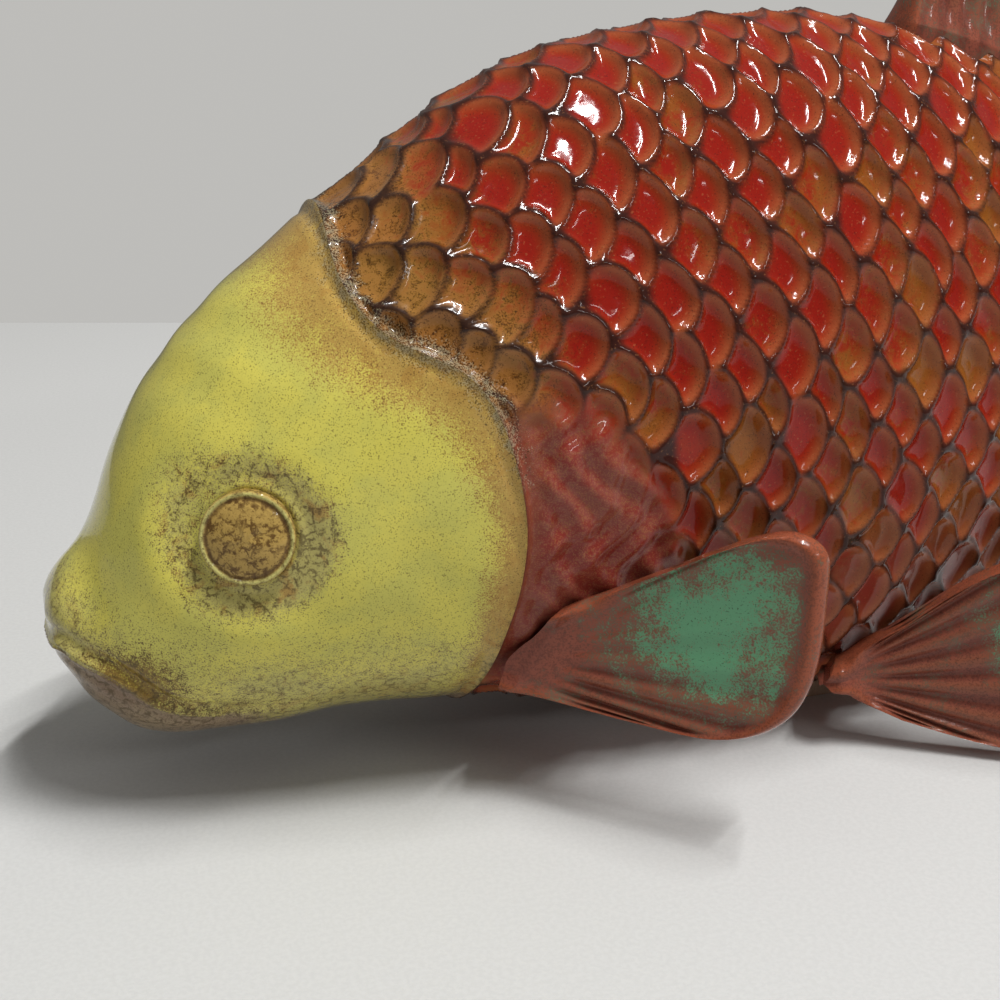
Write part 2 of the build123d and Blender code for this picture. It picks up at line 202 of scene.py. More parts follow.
class Recipe:
    """The node tree of a glaze or of the room, with the colour that it has come to so far."""

    body_gloss = 0.1
    glass_ior = 1.3

    def __init__(self, owner: Material | bpy.types.World) -> None:
        """Empties the node tree of a material or world."""
        owner.use_nodes = True
        self.owner = owner
        self.tree = owner.node_tree
        self.tree.nodes.clear()
        self.colour: Any = None
        self._place: Signal | None = None

    @classmethod
    def glaze(cls, name: str, under: Colour) -> "Recipe":
        """The recipe of a new material, which starts from one colour."""
        recipe = cls(bpy.data.materials.new(name))
        recipe.colour = under
        return recipe

    def node(
        self,
        kind: str,
        settings: Mapping[str, Any],
        inputs: Mapping[int | str, Any],
        output: int | str = 0,
    ) -> Signal:
        """Adds one node.

        Args:
            kind: the node's type.
            settings: its properties, which are set first.
            inputs: values or signals for its sockets, by name or number.
            output: the socket that the signal comes from.

        Returns:
            The signal of that socket.
        """
        made = self.tree.nodes.new(kind)
        for key, value in settings.items():
            setattr(made, key, value)
        for key, value in inputs.items():
            socket = made.inputs[key]
            if isinstance(value, Signal):
                self.tree.links.new(value.socket, socket)
            elif socket.type == "RGBA":
                socket.default_value = (*value, 1.0)
            else:
                socket.default_value = value
        return Signal(self, made.outputs[output] if made.outputs else None)

    def place(self) -> Signal:
        """The point on the piece, in metres."""
        if self._place is None:
            self._place = self.node("ShaderNodeTexCoord", {}, {}, "Object")
        return self._place

    def map(self, name: str) -> Signal:
        """A map that the piece's mesh carries."""
        return self.node("ShaderNodeAttribute", {"attribute_name": name}, {}, "Fac")

    def noise(self, grain: float, detail: float = 2.0, rough: float = 0.5, swirl: float = 0.0) -> Signal:
        """Cloudy noise.

        Args:
            grain: the size of its patches.
            detail: how many finer layers it has.
            rough: how strong the finer layers are.
            swirl: how far it is distorted.

        Returns:
            Values about 0, from -0.5 to 0.5.
        """
        scale = {"Scale": 1.0 / grain, "Detail": detail, "Roughness": rough, "Distortion": swirl}
        return self.node("ShaderNodeTexNoise", {}, {"Vector": self.place(), **scale}) - 0.5

    def crackle(self, grain: float, wander: float) -> Signal:
        """The distance from the nearest crack, in a net of cells.

        Args:
            grain: the size of the cells.
            wander: how far the cracks stray, as a share of that size.

        Returns:
            The distance, from 0 on a crack.
        """
        waves = {"Vector": self.place(), "Scale": 2.0 / grain, "Detail": 2.0}
        drift = self.node("ShaderNodeTexNoise", {}, waves, 1)
        shift = self.node(
            "ShaderNodeVectorMath", {"operation": "SCALE"}, {0: drift, "Scale": wander * grain}
        )
        moved = self.node("ShaderNodeVectorMath", {"operation": "ADD"}, {0: self.place(), 1: shift})
        cells = {"Vector": moved, "Scale": 1.0 / grain}
        return self.node("ShaderNodeTexVoronoi", {"feature": "DISTANCE_TO_EDGE"}, cells)

    def frayed(self, name: str, broken: Signal, fray: float, low: float, high: float) -> Signal:
        """A map whose border breaks up.

        Args:
            name: the map's name.
            broken: the noise that breaks it up.
            fray: the map's value from which it does so fully.
            low: the value below which nothing is left.
            high: the value above which it is whole.

        Returns:
            The mask, from 0 to 1.
        """
        here = self.map(name)
        return (here + broken * here.step(0.0, fray)).step(low, high)

    def mix(self, under: Any, over: Any, share: Signal) -> Signal:
        """One colour laid over another."""
        return self.node("ShaderNodeMix", {"data_type": "RGBA"}, {0: share, 6: under, 7: over}, 2)

    def lay(self, over: Any, share: Signal) -> None:
        """Lays a colour over the recipe's own."""
        self.colour = self.mix(self.colour, over, share)

    def crust(self, dark: Colour, chalk: Colour, mottle: Signal, specks: Signal) -> None:
        """Lays the dark and the chalky specks along the seam behind the head.

        Args:
            dark: the colour of the dark specks.
            chalk: the colour of the pale ones.
            mottle: the noise that groups them.
            specks: the noise that makes them.
        """
        here = self.map("crust")
        self.lay(dark, (here + mottle * 1.2 + specks * 2.4).step(0.75, 1.1) * 0.6)
        self.lay(chalk, (here + mottle * 1.6 - specks * 2.4).step(0.85, 1.2) * 0.55)

    def finish(
        self, rough: Any, relief: Signal, depth: float, coat: float, coat_rough: float
    ) -> Material:
        """Ends the recipe with its shader.

        Args:
            rough: the roughness of the body of the glaze.
            relief: the fine relief, in heights of about 1.
            depth: how deep that is.
            coat: how much clear glass lies on top.
            coat_rough: the roughness of that glass.

        Returns:
            The finished material.
        """
        inputs = {
            "Base Color": self.colour,
            "Roughness": rough,
            "Specular IOR Level": self.body_gloss,
            "Coat Weight": coat,
            "Coat Roughness": coat_rough,
            "Coat IOR": self.glass_ior,
            "Normal": self.node("ShaderNodeBump", {}, {"Height": relief, "Distance": depth}, "Normal"),
        }
        shader = self.node("ShaderNodeBsdfPrincipled", {}, inputs)
        self.node("ShaderNodeOutputMaterial", {}, {"Surface": shader})
        return self.owner


@dataclass(frozen=True)
class HeadGlaze:
    """Gloss yellow-green glaze with a fine dark speckle, brown where it ran thin."""

    yellow: Colour = (0.66, 0.590, 0.110)
    lime: Colour = (0.58, 0.540, 0.115)
    ochre: Colour = (0.46, 0.27, 0.070)
    haze: Colour = (0.42, 0.36, 0.135)
    rust: Colour = (0.34, 0.145, 0.028)
    brown: Colour = (0.20, 0.105, 0.022)
    mauve: Colour = (0.24, 0.165, 0.120)
    dark: Colour = (0.085, 0.055, 0.020)
    chalk: Colour = (0.40, 0.35, 0.22)
    patch: float = 9.0 * MM
    blotch: float = 3.4 * MM
    mottle: float = 1.6 * MM
    crack: float = 1.5 * MM
    peel: float = 1.1 * MM
    blot: float = 0.9 * MM
    speck: float = 0.24 * MM
    depth: float = 0.06 * MM

    def material(self) -> Material:
        """The glaze of the head."""
        r = Recipe.glaze("head_glaze_speckled_yellow", self.yellow)
        patches = r.noise(self.patch, 3.0, 0.6)
        mottle = r.noise(self.mottle, 3.0, 0.65, 0.4)
        specks = r.noise(self.speck, 1.5, 0.6)
        broken = patches * 0.6 + mottle * 0.6 + specks * 1.6
        ochre = r.frayed("ochre", broken, 0.35, 0.25, 0.85)
        brown = r.frayed("brown", broken, 0.3, 0.3, 0.9)
        halo = r.frayed("halo", broken, 0.3, 0.3, 0.95)
        lower_head_and_snout = r.frayed("lower_head_and_snout", broken * 0.8, 0.3, 0.35, 0.95)
        mauve = (r.map("mauve") + broken * 0.5).step(0.35, 0.8)
        r.lay(self.lime, patches.step(-0.1, 0.12))
        r.lay(self.ochre, ochre * 0.9)
        # A greyer glaze round the eye, and towards the bottom of the head and at the snout tip.
        r.lay(self.haze, (halo + lower_head_and_snout).limited() * 0.8)
        stained = (halo + ochre * 0.6 + lower_head_and_snout * 0.5).limited()
        r.lay(self.rust, r.noise(self.blotch, 3.0, 0.6, 0.6).step(0.0, 0.16) * stained * 0.6)
        r.lay(self.brown, brown * 0.85)
        r.lay(self.mauve, mauve * 0.85)
        density = r.map("density")
        r.lay(self.dark, (specks + density * 0.2 + mottle * 0.12).step(0.06, 0.18) * 0.62)
        r.lay(self.brown, (r.noise(self.blot, 3.0, 0.7) + density * 0.30).step(0.24, 0.42) * 0.7)
        cracks = r.crackle(self.crack, 0.5)
        crazed = (halo + mauve + brown + lower_head_and_snout * 0.8).limited() * mottle.step(-0.10, 0.08)
        r.lay(self.dark, (0.26 - cracks).step(0.08, 0.22) * crazed * 0.75)
        # Painted shade darkens the groove along the gill line.
        r.lay(self.dark, (r.map("crevice_shade") + mottle * 1.4).step(0.35, 1.1) * 0.6)
        r.crust(self.dark, self.chalk, mottle, specks)
        peel = r.noise(self.peel, 2.0) * 0.7 + cracks * (halo + mauve).limited() * 0.5
        return r.finish(0.16 + mauve * 0.25 + brown * 0.12, peel, self.depth, 0.7, 0.035)


@dataclass(frozen=True)
class ScaleGlaze:
    """Deep red gloss glaze that breaks to orange on the scales' edges and ochre by the nape."""

    red: Colour = (0.30, 0.012, 0.005)
    deep: Colour = (0.21, 0.007, 0.003)
    orange: Colour = (0.28, 0.044, 0.008)
    ochre: Colour = (0.31, 0.150, 0.032)
    olive: Colour = (0.23, 0.110, 0.016)
    edge: Colour = (0.48, 0.200, 0.075)
    crease: Colour = (0.022, 0.008, 0.006)
    mauve: Colour = (0.25, 0.068, 0.050)
    bloom: Colour = (0.21, 0.030, 0.022)
    chalk: Colour = (0.40, 0.35, 0.22)
    patch: float = 16.0 * MM
    mottle: float = 1.7 * MM
    peel: float = 1.3 * MM
    grain: float = 0.45 * MM
    speck: float = 0.26 * MM
    depth: float = 0.05 * MM

    def material(self) -> Material:
        """The glaze of the scales."""
        r = Recipe.glaze("scale_glaze_mottled_red", self.red)
        patches = r.noise(self.patch, 3.0, 0.6)
        mottle = r.noise(self.mottle, 4.0, 0.7, 0.5)
        specks = r.noise(self.speck, 1.5, 0.6)
        tone, plain, heart, rim = (r.map(name) for name in ("tone", "plain", "heart", "rim"))
        broken = mottle * 0.9
        warm = patches * 2.2 + tone * 0.55 + 0.45 - r.map("red") * 0.6 + broken * 0.5
        warm = warm.step(0.1, 0.9)
        r.lay(self.orange, warm)
        r.lay(self.olive, (mottle * 2.0 + tone * 0.5 + warm * 0.5).step(0.2, 0.9) * 0.65)
        ochre = r.frayed("ochre", broken, 0.3, 0.2, 0.8)
        tan = r.mix(self.ochre, self.olive, (mottle + specks * 0.4).step(-0.04, 0.10))
        r.lay(tan, ochre * 0.9)
        r.lay(self.crease, (mottle + specks * 0.7).step(0.0, 0.20) * ochre * 0.5)
        mauve = (r.map("mauve") + broken * 0.4).step(0.3, 0.9)
        r.lay(self.mauve, mauve * 0.75)
        r.lay(self.bloom, plain * 0.85)
        r.lay(self.mauve, plain * (mottle + patches * 0.6).step(-0.14, 0.10) * 0.75)
        grit = (specks + mottle * 0.4).step(0.02, 0.14) * (plain + mauve * 0.4).limited()
        r.lay(self.edge, grit * 0.45)
        r.lay(self.deep, heart * (1 - ochre * 0.8) * (1 - warm * 0.8) * 0.55)
        r.lay(self.orange, (1 - heart) * (1 - ochre) * (1 - plain) * 0.55)
        r.lay(self.edge, (rim + broken * 0.5 * rim).limited() * 0.40)
        # Near-black in the crevices and on the sunken fronts: partly dark glaze pooled there, partly
        # painted shade.
        r.lay(self.crease, (r.map("crevice_shade") + broken * 0.25).step(0.10, 0.80) * 0.95)
        r.lay(self.crease, (specks + r.map("density") * 0.1 + mottle * 0.3).step(0.06, 0.24) * 0.5)
        r.crust(self.crease, self.chalk, mottle, specks)
        r.lay(self.edge, r.noise(self.grain, 1.0).step(0.12, 0.26) * 0.2)
        relief = r.noise(self.peel, 2.0) + plain * (mottle + 0.5) * 2.0
        return r.finish(0.14 + ochre * 0.1 + plain * 0.2, relief, self.depth, 0.7, 0.03)


@dataclass(frozen=True)
class EyeFinish:
    """Ochre glaze, crazed into small plates with dark brown cracks."""

    ochre: Colour = (0.42, 0.275, 0.075)
    pale: Colour = (0.56, 0.51, 0.170)
    brown: Colour = (0.100, 0.048, 0.014)
    plate: float = 2.6 * MM
    crack: float = 1.6 * MM
    mottle: float = 1.2 * MM
    speck: float = 0.35 * MM
    depth: float = 0.12 * MM

    def material(self) -> Material:
        """The glaze of the eyes."""
        r = Recipe.glaze("eye_glaze_crazed_ochre", self.ochre)
        cracks = r.crackle(self.crack, 1.3)
        mottle = r.noise(self.mottle, 3.0, 0.7, 0.5)
        rim = r.map("rim")
        r.lay(self.pale, (rim * 0.8 + mottle * 0.8).step(0.1, 0.8))
        plates = mottle.step(-0.16, 0.04) * r.noise(self.plate, 2.0, 0.6, 1.0).step(-0.14, 0.06)
        r.lay(self.brown, (0.34 - cracks).step(0.10, 0.29) * plates * (1 - rim * 0.5) * 0.9)
        # Painted shade along the groove round the disc.
        r.lay(self.brown, (r.map("crevice_shade") + mottle * 1.6).step(0.35, 1.1) * 0.8)
        specks = r.noise(self.speck, 1.5, 0.6)
        r.lay(self.brown, (specks + mottle * 0.15).step(0.045, 0.185) * 0.6)
        return r.finish(0.22, cracks * 0.8 + mottle * 0.3, self.depth, 0.63, 0.05)


@dataclass(frozen=True)
class FinGlaze:
    """Red-brown glaze, orange on the rays and the rolled rim, with a pool of green."""

    name: str
    body: Colour = (0.265, 0.075, 0.046)
    valley_and_root_shade: Colour = (0.165, 0.045, 0.030)
    ray: Colour = (0.250, 0.088, 0.048)
    rim: Colour = (0.29, 0.075, 0.034)
    green: Colour = (0.125, 0.340, 0.185)
    grey: Colour = (0.160, 0.115, 0.075)
    dark: Colour = (0.035, 0.014, 0.012)
    patch: float = 7.0 * MM
    mottle: float = 1.4 * MM
    grain: float = 0.4 * MM
    speck: float = 0.33 * MM
    depth: float = 0.07 * MM

    def material(self) -> Material:
        """The glaze of a fin."""
        r = Recipe.glaze(self.name, self.body)
        patches = r.noise(self.patch, 3.0, 0.6)
        mottle = r.noise(self.mottle, 3.0, 0.7, 0.4)
        specks = r.noise(self.speck, 1.5, 0.6)
        # Darker in the valleys between the rays, and painted shade at the root of a paired fin, where it
        # meets the body.
        r.lay(self.valley_and_root_shade, (r.map("valley_and_root_shade") + mottle * 0.8).step(0.2, 0.9) * 0.8)
        r.lay(self.ray, (r.map("ray") + mottle * 0.7).step(0.3, 0.95) * 0.7)
        r.lay(self.grey, (patches + mottle * 0.8).step(0.0, 0.25) * 0.4)
        r.lay(self.rim, (r.map("rim") + mottle * 0.9).step(0.3, 0.9) * 0.85)
        r.lay(self.dark, (specks + mottle * 0.5).step(-0.06, 0.12) * 0.35)
        pool = r.map("pool") + mottle * 0.8 + patches * 1.7 + specks * 1.5
        green = pool.step(0.42, 0.95)
        r.lay(self.grey, pool.step(0.10, 0.50) * 0.75)
        r.lay(self.green, green * 0.95)
        r.lay(self.dark, (specks + r.map("pool") * 0.06).step(0.16, 0.28) * 0.6)
        r.lay(self.ray, r.noise(self.grain, 1.0).step(0.12, 0.24) * (1 - green) * 0.35)
        return r.finish(0.2 + green * 0.2, mottle, self.depth, 0.595, 0.06)


@dataclass(frozen=True)
class BareClay:
    """Matt unglazed clay under the foot."""

    clay: Colour = (0.46, 0.33, 0.24)
    stain: Colour = (0.28, 0.17, 0.11)
    patch: float = 8.0 * MM
    grain: float = 0.6 * MM
    depth: float = 0.15 * MM

    def material(self) -> Material:
        """The bare clay."""
        r = Recipe.glaze("bare_clay_matt", self.clay)
        grain = r.noise(self.grain, 4.0, 0.7)
        r.lay(self.stain, r.noise(self.patch, 3.0).step(-0.1, 0.2) * 0.6)
        return r.finish(0.85 + grain * 0.1, grain, self.depth, 0.0, 0.1)


@dataclass(frozen=True)
class TablePaint:
    """The white table under the fish."""

    white: Colour = (0.580, 0.580, 0.568)
    dull: Colour = (0.552, 0.552, 0.540)
    grain: float = 0.8 * MM
    depth: float = 0.04 * MM

    def material(self) -> Material:
        """The paint of the table."""
        r = Recipe.glaze("table_white", self.white)
        grain = r.noise(self.grain, 3.0, 0.6)
        r.lay(self.dull, grain.step(-0.15, 0.15))
        return r.finish(0.6, grain, self.depth, 0.0, 0.1)


@dataclass
class CarpForm:
    """The smooth form of the head and trunk, through its stations from the snout to the tail.

    A station is x and z where it meets the back, x and z where it meets the belly, and its width,
    as shares of the fish's length, height and width.
    """

    length: float = 300.0 * MM
    height: float = 121.0 * MM
    width: float = 72.0 * MM
    snout_to_foot: float = 125.0 * MM
    waist_share: float = 0.46
    gill_station: int = 6
    even_station: float = 8.5
    even_samples: int = 2001
    station_shares: tuple[tuple[float, ...], ...] = (
        (0.0028, 0.279, 0.0008, 0.255, 0.097),
        (0.0132, 0.315, 0.0101, 0.208, 0.280),
        (0.0277, 0.356, 0.0290, 0.134, 0.420),
        (0.0420, 0.445, 0.0564, 0.088, 0.550),
        (0.0660, 0.556, 0.0946, 0.079, 0.681),
        (0.1023, 0.657, 0.1425, 0.081, 0.789),
        (0.1462, 0.747, 0.1955, 0.078, 0.868),
        (0.2369, 0.915, 0.2853, 0.038, 0.970),
        (0.3270, 0.983, 0.3730, 0.000, 1.000),
        (0.4130, 1.000, 0.4600, 0.004, 0.972),
        (0.5000, 0.971, 0.5430, 0.050, 0.861),
        (0.5870, 0.901, 0.6230, 0.157, 0.694),
        (0.6730, 0.810, 0.7030, 0.289, 0.514),
        (0.7470, 0.748, 0.7630, 0.380, 0.375),
        (0.8000, 0.723, 0.8030, 0.417, 0.306),
    )
    gill_shares: tuple[tuple[float, float], ...] = (
        (0.1570, 0.775), (0.1555, 0.705), (0.1730, 0.640), (0.2060, 0.598), (0.2275, 0.495),
        (0.2335, 0.400), (0.2286, 0.273), (0.2190, 0.130), (0.2130, 0.050),
    )
    gill_samples: int = 49
    gill_overrun: float = 30.0 * MM
    gill_search: tuple[float, float] = (-2.5, 3.0)
    gill_halvings: int = 40
    curve: Curve = field(init=False)
    gill_line: Array = field(init=False)
    even_turns: Array = field(init=False)
    even_shares: Array = field(init=False)

    def __post_init__(self) -> None:
        """Works out the curves, the gill line and the even spacing round a section."""
        scale = np.array([self.length, self.height, self.length, self.height, self.width / 2])
        shift = np.array([self.snout_to_foot, 0, self.snout_to_foot, 0, 0])
        self.curve = Curve(range(self.last + 1), np.array(self.station_shares) * scale - shift)
        line = Curve.by_chord([self.side_point(x, z) for x, z in self.gill_shares])
        points = line.at(np.linspace(0, 1, self.gill_samples))
        first, last = points[0] - points[1], points[-1] - points[-2]
        start = points[0] + first / np.linalg.norm(first) * self.gill_overrun
        end = points[-1] + last / np.linalg.norm(last) * self.gill_overrun
        self.gill_line = np.vstack([start, points, end])
        self.even_turns = np.linspace(0, 1, self.even_samples)
        self.even_shares = run_shares(self.section(np.array(self.even_station), self.even_turns))

    @property
    def last(self) -> int:
        """The number of the last station, counted from 0."""
        return len(self.station_shares) - 1

    def side_point(self, x_share: float, z_share: float) -> tuple[float, float]:
        """A point on the middle plane, as x and z."""
        return x_share * self.length - self.snout_to_foot, z_share * self.height

    def turn(self, share: Array) -> Array:
        """The turn from back to belly at an even share of the way round."""
        return np.interp(share, self.even_shares, self.even_turns)

    def section(self, station: Array, turn: Array) -> Array:
        """Points on the left side of the form.

        Args:
            station: how far along, counted in stations.
            turn: how far round, from 0 at the back to 1 at the belly.

        Returns:
            Points, in an array with one more axis.
        """
        row = self.curve.at(np.broadcast_to(station, np.broadcast(station, turn).shape))
        back, belly = (
            np.stack([row[..., n], 0 * row[..., n], row[..., n + 1]], axis=-1) for n in (0, 2)
        )
        middle = belly + (back - belly) * self.waist_share
        rise = np.cos(np.pi * turn)[..., None]
        place = middle + np.where(rise >= 0, back - middle, belly - middle) * np.abs(rise)
        place[..., 1] -= row[..., 4] * np.sin(np.pi * turn)
        return place

    def behind_gill(self, place: Array) -> Array:
        """How many millimetres a point lies behind the gill line, seen from the side."""
        flat = place[..., [0, 2]].reshape(-1, 2)
        nearest = np.full(len(flat), np.inf)
        behind = np.zeros(len(flat))
        for start, step in zip(self.gill_line, np.diff(self.gill_line, axis=0)):
            gap = flat - start
            share = np.clip(gap @ step / (step @ step), 0, 1)
            far = np.linalg.norm(gap - share[:, None] * step, axis=1)
            side = np.sign(step[0] * gap[:, 1] - step[1] * gap[:, 0])
            behind = np.where(far < nearest, far * side, behind)
            nearest = np.minimum(far, nearest)
        return behind.reshape(place.shape[:-1]) / MM

    def gill_stations(self, turn: Array) -> Array:
        """The station where each turn meets the gill line, found by halving."""
        low, high = (np.full(turn.shape, self.gill_station + way) for way in self.gill_search)
        for _ in range(self.gill_halvings):
            middle = (low + high) / 2
            behind = self.behind_gill(self.section(middle, turn)) > 0
            high = np.where(behind, middle, high)
            low = np.where(behind, low, middle)
        return (low + high) / 2

    @staticmethod
    def outward(places: Array) -> Array:
        """The outward normals of a grid of points whose rows run to the rear and columns down."""
        normal = np.cross(np.gradient(places, axis=0), np.gradient(places, axis=1))
        length = np.linalg.norm(normal, axis=-1, keepdims=True)
        return normal / np.maximum(length, 1e-12)


@dataclass
class GlazeMap:
    """Where the glazes lie on the body, so that their colours run on from head to trunk."""

    form: CarpForm
    eye: Vector
    nape_mm: float = 84.0
    cheek_mm: float = 46.0
    halo_mm: tuple[float, float] = (9.5, 4.4)
    seam_mm: tuple[float, float] = (0.3, 3.4)

    def maps(self, place: Array) -> dict[str, Array]:
        """The masks at some points of the body.

        Args:
            place: points on either side.

        Returns:
            A value from 0 to 1 for each mask and point.
        """
        x, z = place[..., 0] / MM, place[..., 2] / MM
        behind = self.form.behind_gill(place)
        high = smooth_step(z, self.cheek_mm, self.nape_mm)
        ahead = hump(np.minimum(behind, 0), 0, 6.0 + 7.0 * high)
        after = np.exp(-((np.maximum(behind, 0) / (3.0 + 13.0 * high)) ** 2.2))
        ochre = np.where(behind < 0, ahead, after)
        eye_x, eye_z = self.eye.x / MM, self.eye.z / MM
        lean = 0.75 + 0.35 * smooth_step(x - z, eye_x - eye_z - 12, eye_x - eye_z + 14)
        halo = hump(np.hypot(x - eye_x, z - eye_z), *self.halo_mm) * lean
        muzzle = hump(x, -113, 8) * hump(z, 25, 6)
        brown = muzzle * 1.1 + 0.5 * hump(x, -98, 12) * smooth_step(z, 28, 18)
        jaw = smooth_step(z, 17, 11) * smooth_step(behind, 3, -2)
        belly = smooth_step(z, 62, 22) * smooth_step(behind, -4, 6)
        low = smooth_step(z, 48, 14)
        density = 0.22 + 0.6 * low + 0.9 * halo + 0.7 * ochre + 0.5 * muzzle
        return {
            "ochre": ochre,
            "halo": halo,
            "brown": np.clip(brown, 0, 1),
            "mauve": np.clip(jaw + belly, 0, 1),
            "density": np.clip(density, 0, 1),
            "crust": hump(behind, *self.seam_mm) * smooth_step(z, 40, 66),
            # Greyer and darker towards the bottom of the head and at the snout tip.
            "lower_head_and_snout": np.clip(low * 0.9 + 0.5 * smooth_step(x, -108, -124), 0, 1),
            "red": hump(x, -25, 42) * smooth_step(z, 45, 85) * smooth_step(behind, 12, 24),
        }


@dataclass
class ScaleCourses:
    """The courses of overlapping scales, each a pillow with a round free edge to the rear."""

    courses: float = 45.0
    crowding: float = 3.0
    per_side: int = 12
    relief: float = 3.0 * MM
    half_width: float = 0.49
    round_reach: float = 1.2
    tilt: float = 0.36
    edge_share: float = 0.55
    crease_share: float = 0.13
    crease_depth: float = 0.50
    crease_end: float = 2.2
    start_height: float = 0.1
    pad_height: float = 0.45
    sway: float = 0.26
    drift: float = 0.07
    twist: float = 0.09
    widening: float = 0.09
    swelling: float = 0.10
    seed: int = 11
    shoulder_place: tuple[float, float] = (0.080, 0.60)
    shoulder_reach: tuple[float, float] = (0.115, 0.19)
    blur_rounds: int = 3

    def relief_maps(self, along: Array, down: Array, turn: Array) -> dict[str, Array]:
        """The height of the scales and the maps that go with it, worked out on a doubled grid.

        Args:
            along: shares of the way from the nape to the tail.
            down: even shares of the way from back to belly.
            turn: the turns at those shares.

        Returns:
            The height in metres, and a value for each map.
        """
        along, down, turn = (doubled(grid) for grid in (along, down, turn))
        course = self.courses * along + self.crowding * along**4
        column = self.per_side * down
        rows = int(self.courses + self.crowding) + 8
        jitter = np.random.default_rng(self.seed).uniform(-1, 1, (rows, self.per_side + 6, 5))
        height = np.full_like(course, self.start_height)
        tone, rim, heart, crevice_shade = (np.zeros_like(course) for _ in range(4))
        ahead = np.floor(course).astype(int)
        for step in (4, 3, 2, 1, 0, -1):
            row = ahead + step
            shift = 0.5 * (row % 2)
            nearest = np.rint(column - shift).astype(int)
            for side in (-1, 1, 0):
                place = nearest + side
                line, post = np.clip(row + 2, 0, rows - 1), np.clip(place + 2, 0, self.per_side + 5)
                own = np.moveaxis(jitter[line, post], -1, 0)
                p = row + self.sway * own[0] - course
                d = column - shift - place + self.drift * own[1] + self.twist * own[3] * (p - 1)
                wide = self.half_width * (1 + self.widening * own[2])
                round_off = np.clip((self.round_reach - p) / self.round_reach, 0, None)
                inside = 1 - np.sqrt((d / wide) ** 2 + round_off**2)
                edge = np.clip(inside / self.edge_share, 0, 1)
                dome = np.sqrt(1 - (1 - edge) ** 2) * (0.90 + 0.10 * np.clip(inside, 0, 1))
                top = dome * (1.05 - self.tilt * np.clip(p, 0, 2.4)) * (1 + self.swelling * own[4])
                over = inside > 0
                near = hump(np.minimum(inside, 0), 0, self.crease_share) * (p < self.crease_end)
                sunk = height - self.crease_depth * near * np.clip(height, 0, 1)
                height = np.where(over, top, sunk)
                # Painted shade over the sunken front of each scale and just outside its edge, where dark
                # glaze also pools.
                crevice_shade = np.where(over, 0.9 * smooth_step(p, 1.1, 1.95), np.maximum(crevice_shade, near))
                tone = np.where(over, own[4], tone)
                free = hump(inside, 0.07, 0.10) * smooth_step(p, 1.3, 0.6)
                rim = np.where(over, free, rim * (1 - near))
                heart = np.where(over, smooth_step(inside, 0.15, 0.5), heart * (1 - near))
        across = (along - self.shoulder_place[0]) / self.shoulder_reach[0]
        round_it = (turn - self.shoulder_place[1]) / self.shoulder_reach[1]
        plain = smooth_step(across**2 + round_it**2, 1.25, 0.7)
        scaly = 1 - plain
        fine = {
            "height": (np.maximum(height, 0) * scaly + self.pad_height * plain) * self.relief,
            # The painted shade grows where the scales lie low.
            "crevice_shade": np.maximum(crevice_shade, smooth_step(height, 0.42, 0.06)) * scaly,
            "rim": rim * scaly,
            "heart": heart * scaly,
            "tone": tone * scaly,
            "plain": plain,
        }
        return {name: blurred(grid, self.blur_rounds)[::2, ::2] for name, grid in fine.items()}


def deselect() -> None:
    """Leaves object mode with nothing selected."""
    if bpy.context.object and bpy.context.object.mode != "OBJECT":
        bpy.ops.object.mode_set(mode="OBJECT")
    bpy.ops.object.select_all(action="DESELECT")


def end_membrane(rim: Array, rows: int) -> Array:
    """Rows that close the open end of a half shell, from its rim in to the middle plane.

    Args:
        rim: the points of the end, from the back to the belly.
        rows: how many rows to make.

    Returns:
        The rows, the one nearest the rim first.
    """
    drawn_in = 0.12
    shares = (np.arange(1, rows + 1) / rows)[:, None]
    middle = (rim[0, 2] + rim[-1, 2]) / 2
    inner = np.repeat(rim[None], rows, axis=0)
    inner[..., 1] *= 1 - shares
    inner[..., 2] += (middle - inner[..., 2]) * drawn_in * shares
    return inner


def declare(thing: Thing, nodes: Sequence[str]) -> None:
    """Hangs a piece on the frame's root, hides the parts of the nodes that it stands for, and logs its
    size.
    """
    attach(thing, "root")
    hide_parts(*nodes)
    spans = [[vertex.co[n] / MM for vertex in thing.data.vertices] for n in range(3)]
    size = " ".join(f"{min(span):.1f}..{max(span):.1f}" for span in spans)
    log.info("%s: %d faces, %s mm", thing.name, len(thing.data.polygons), size)


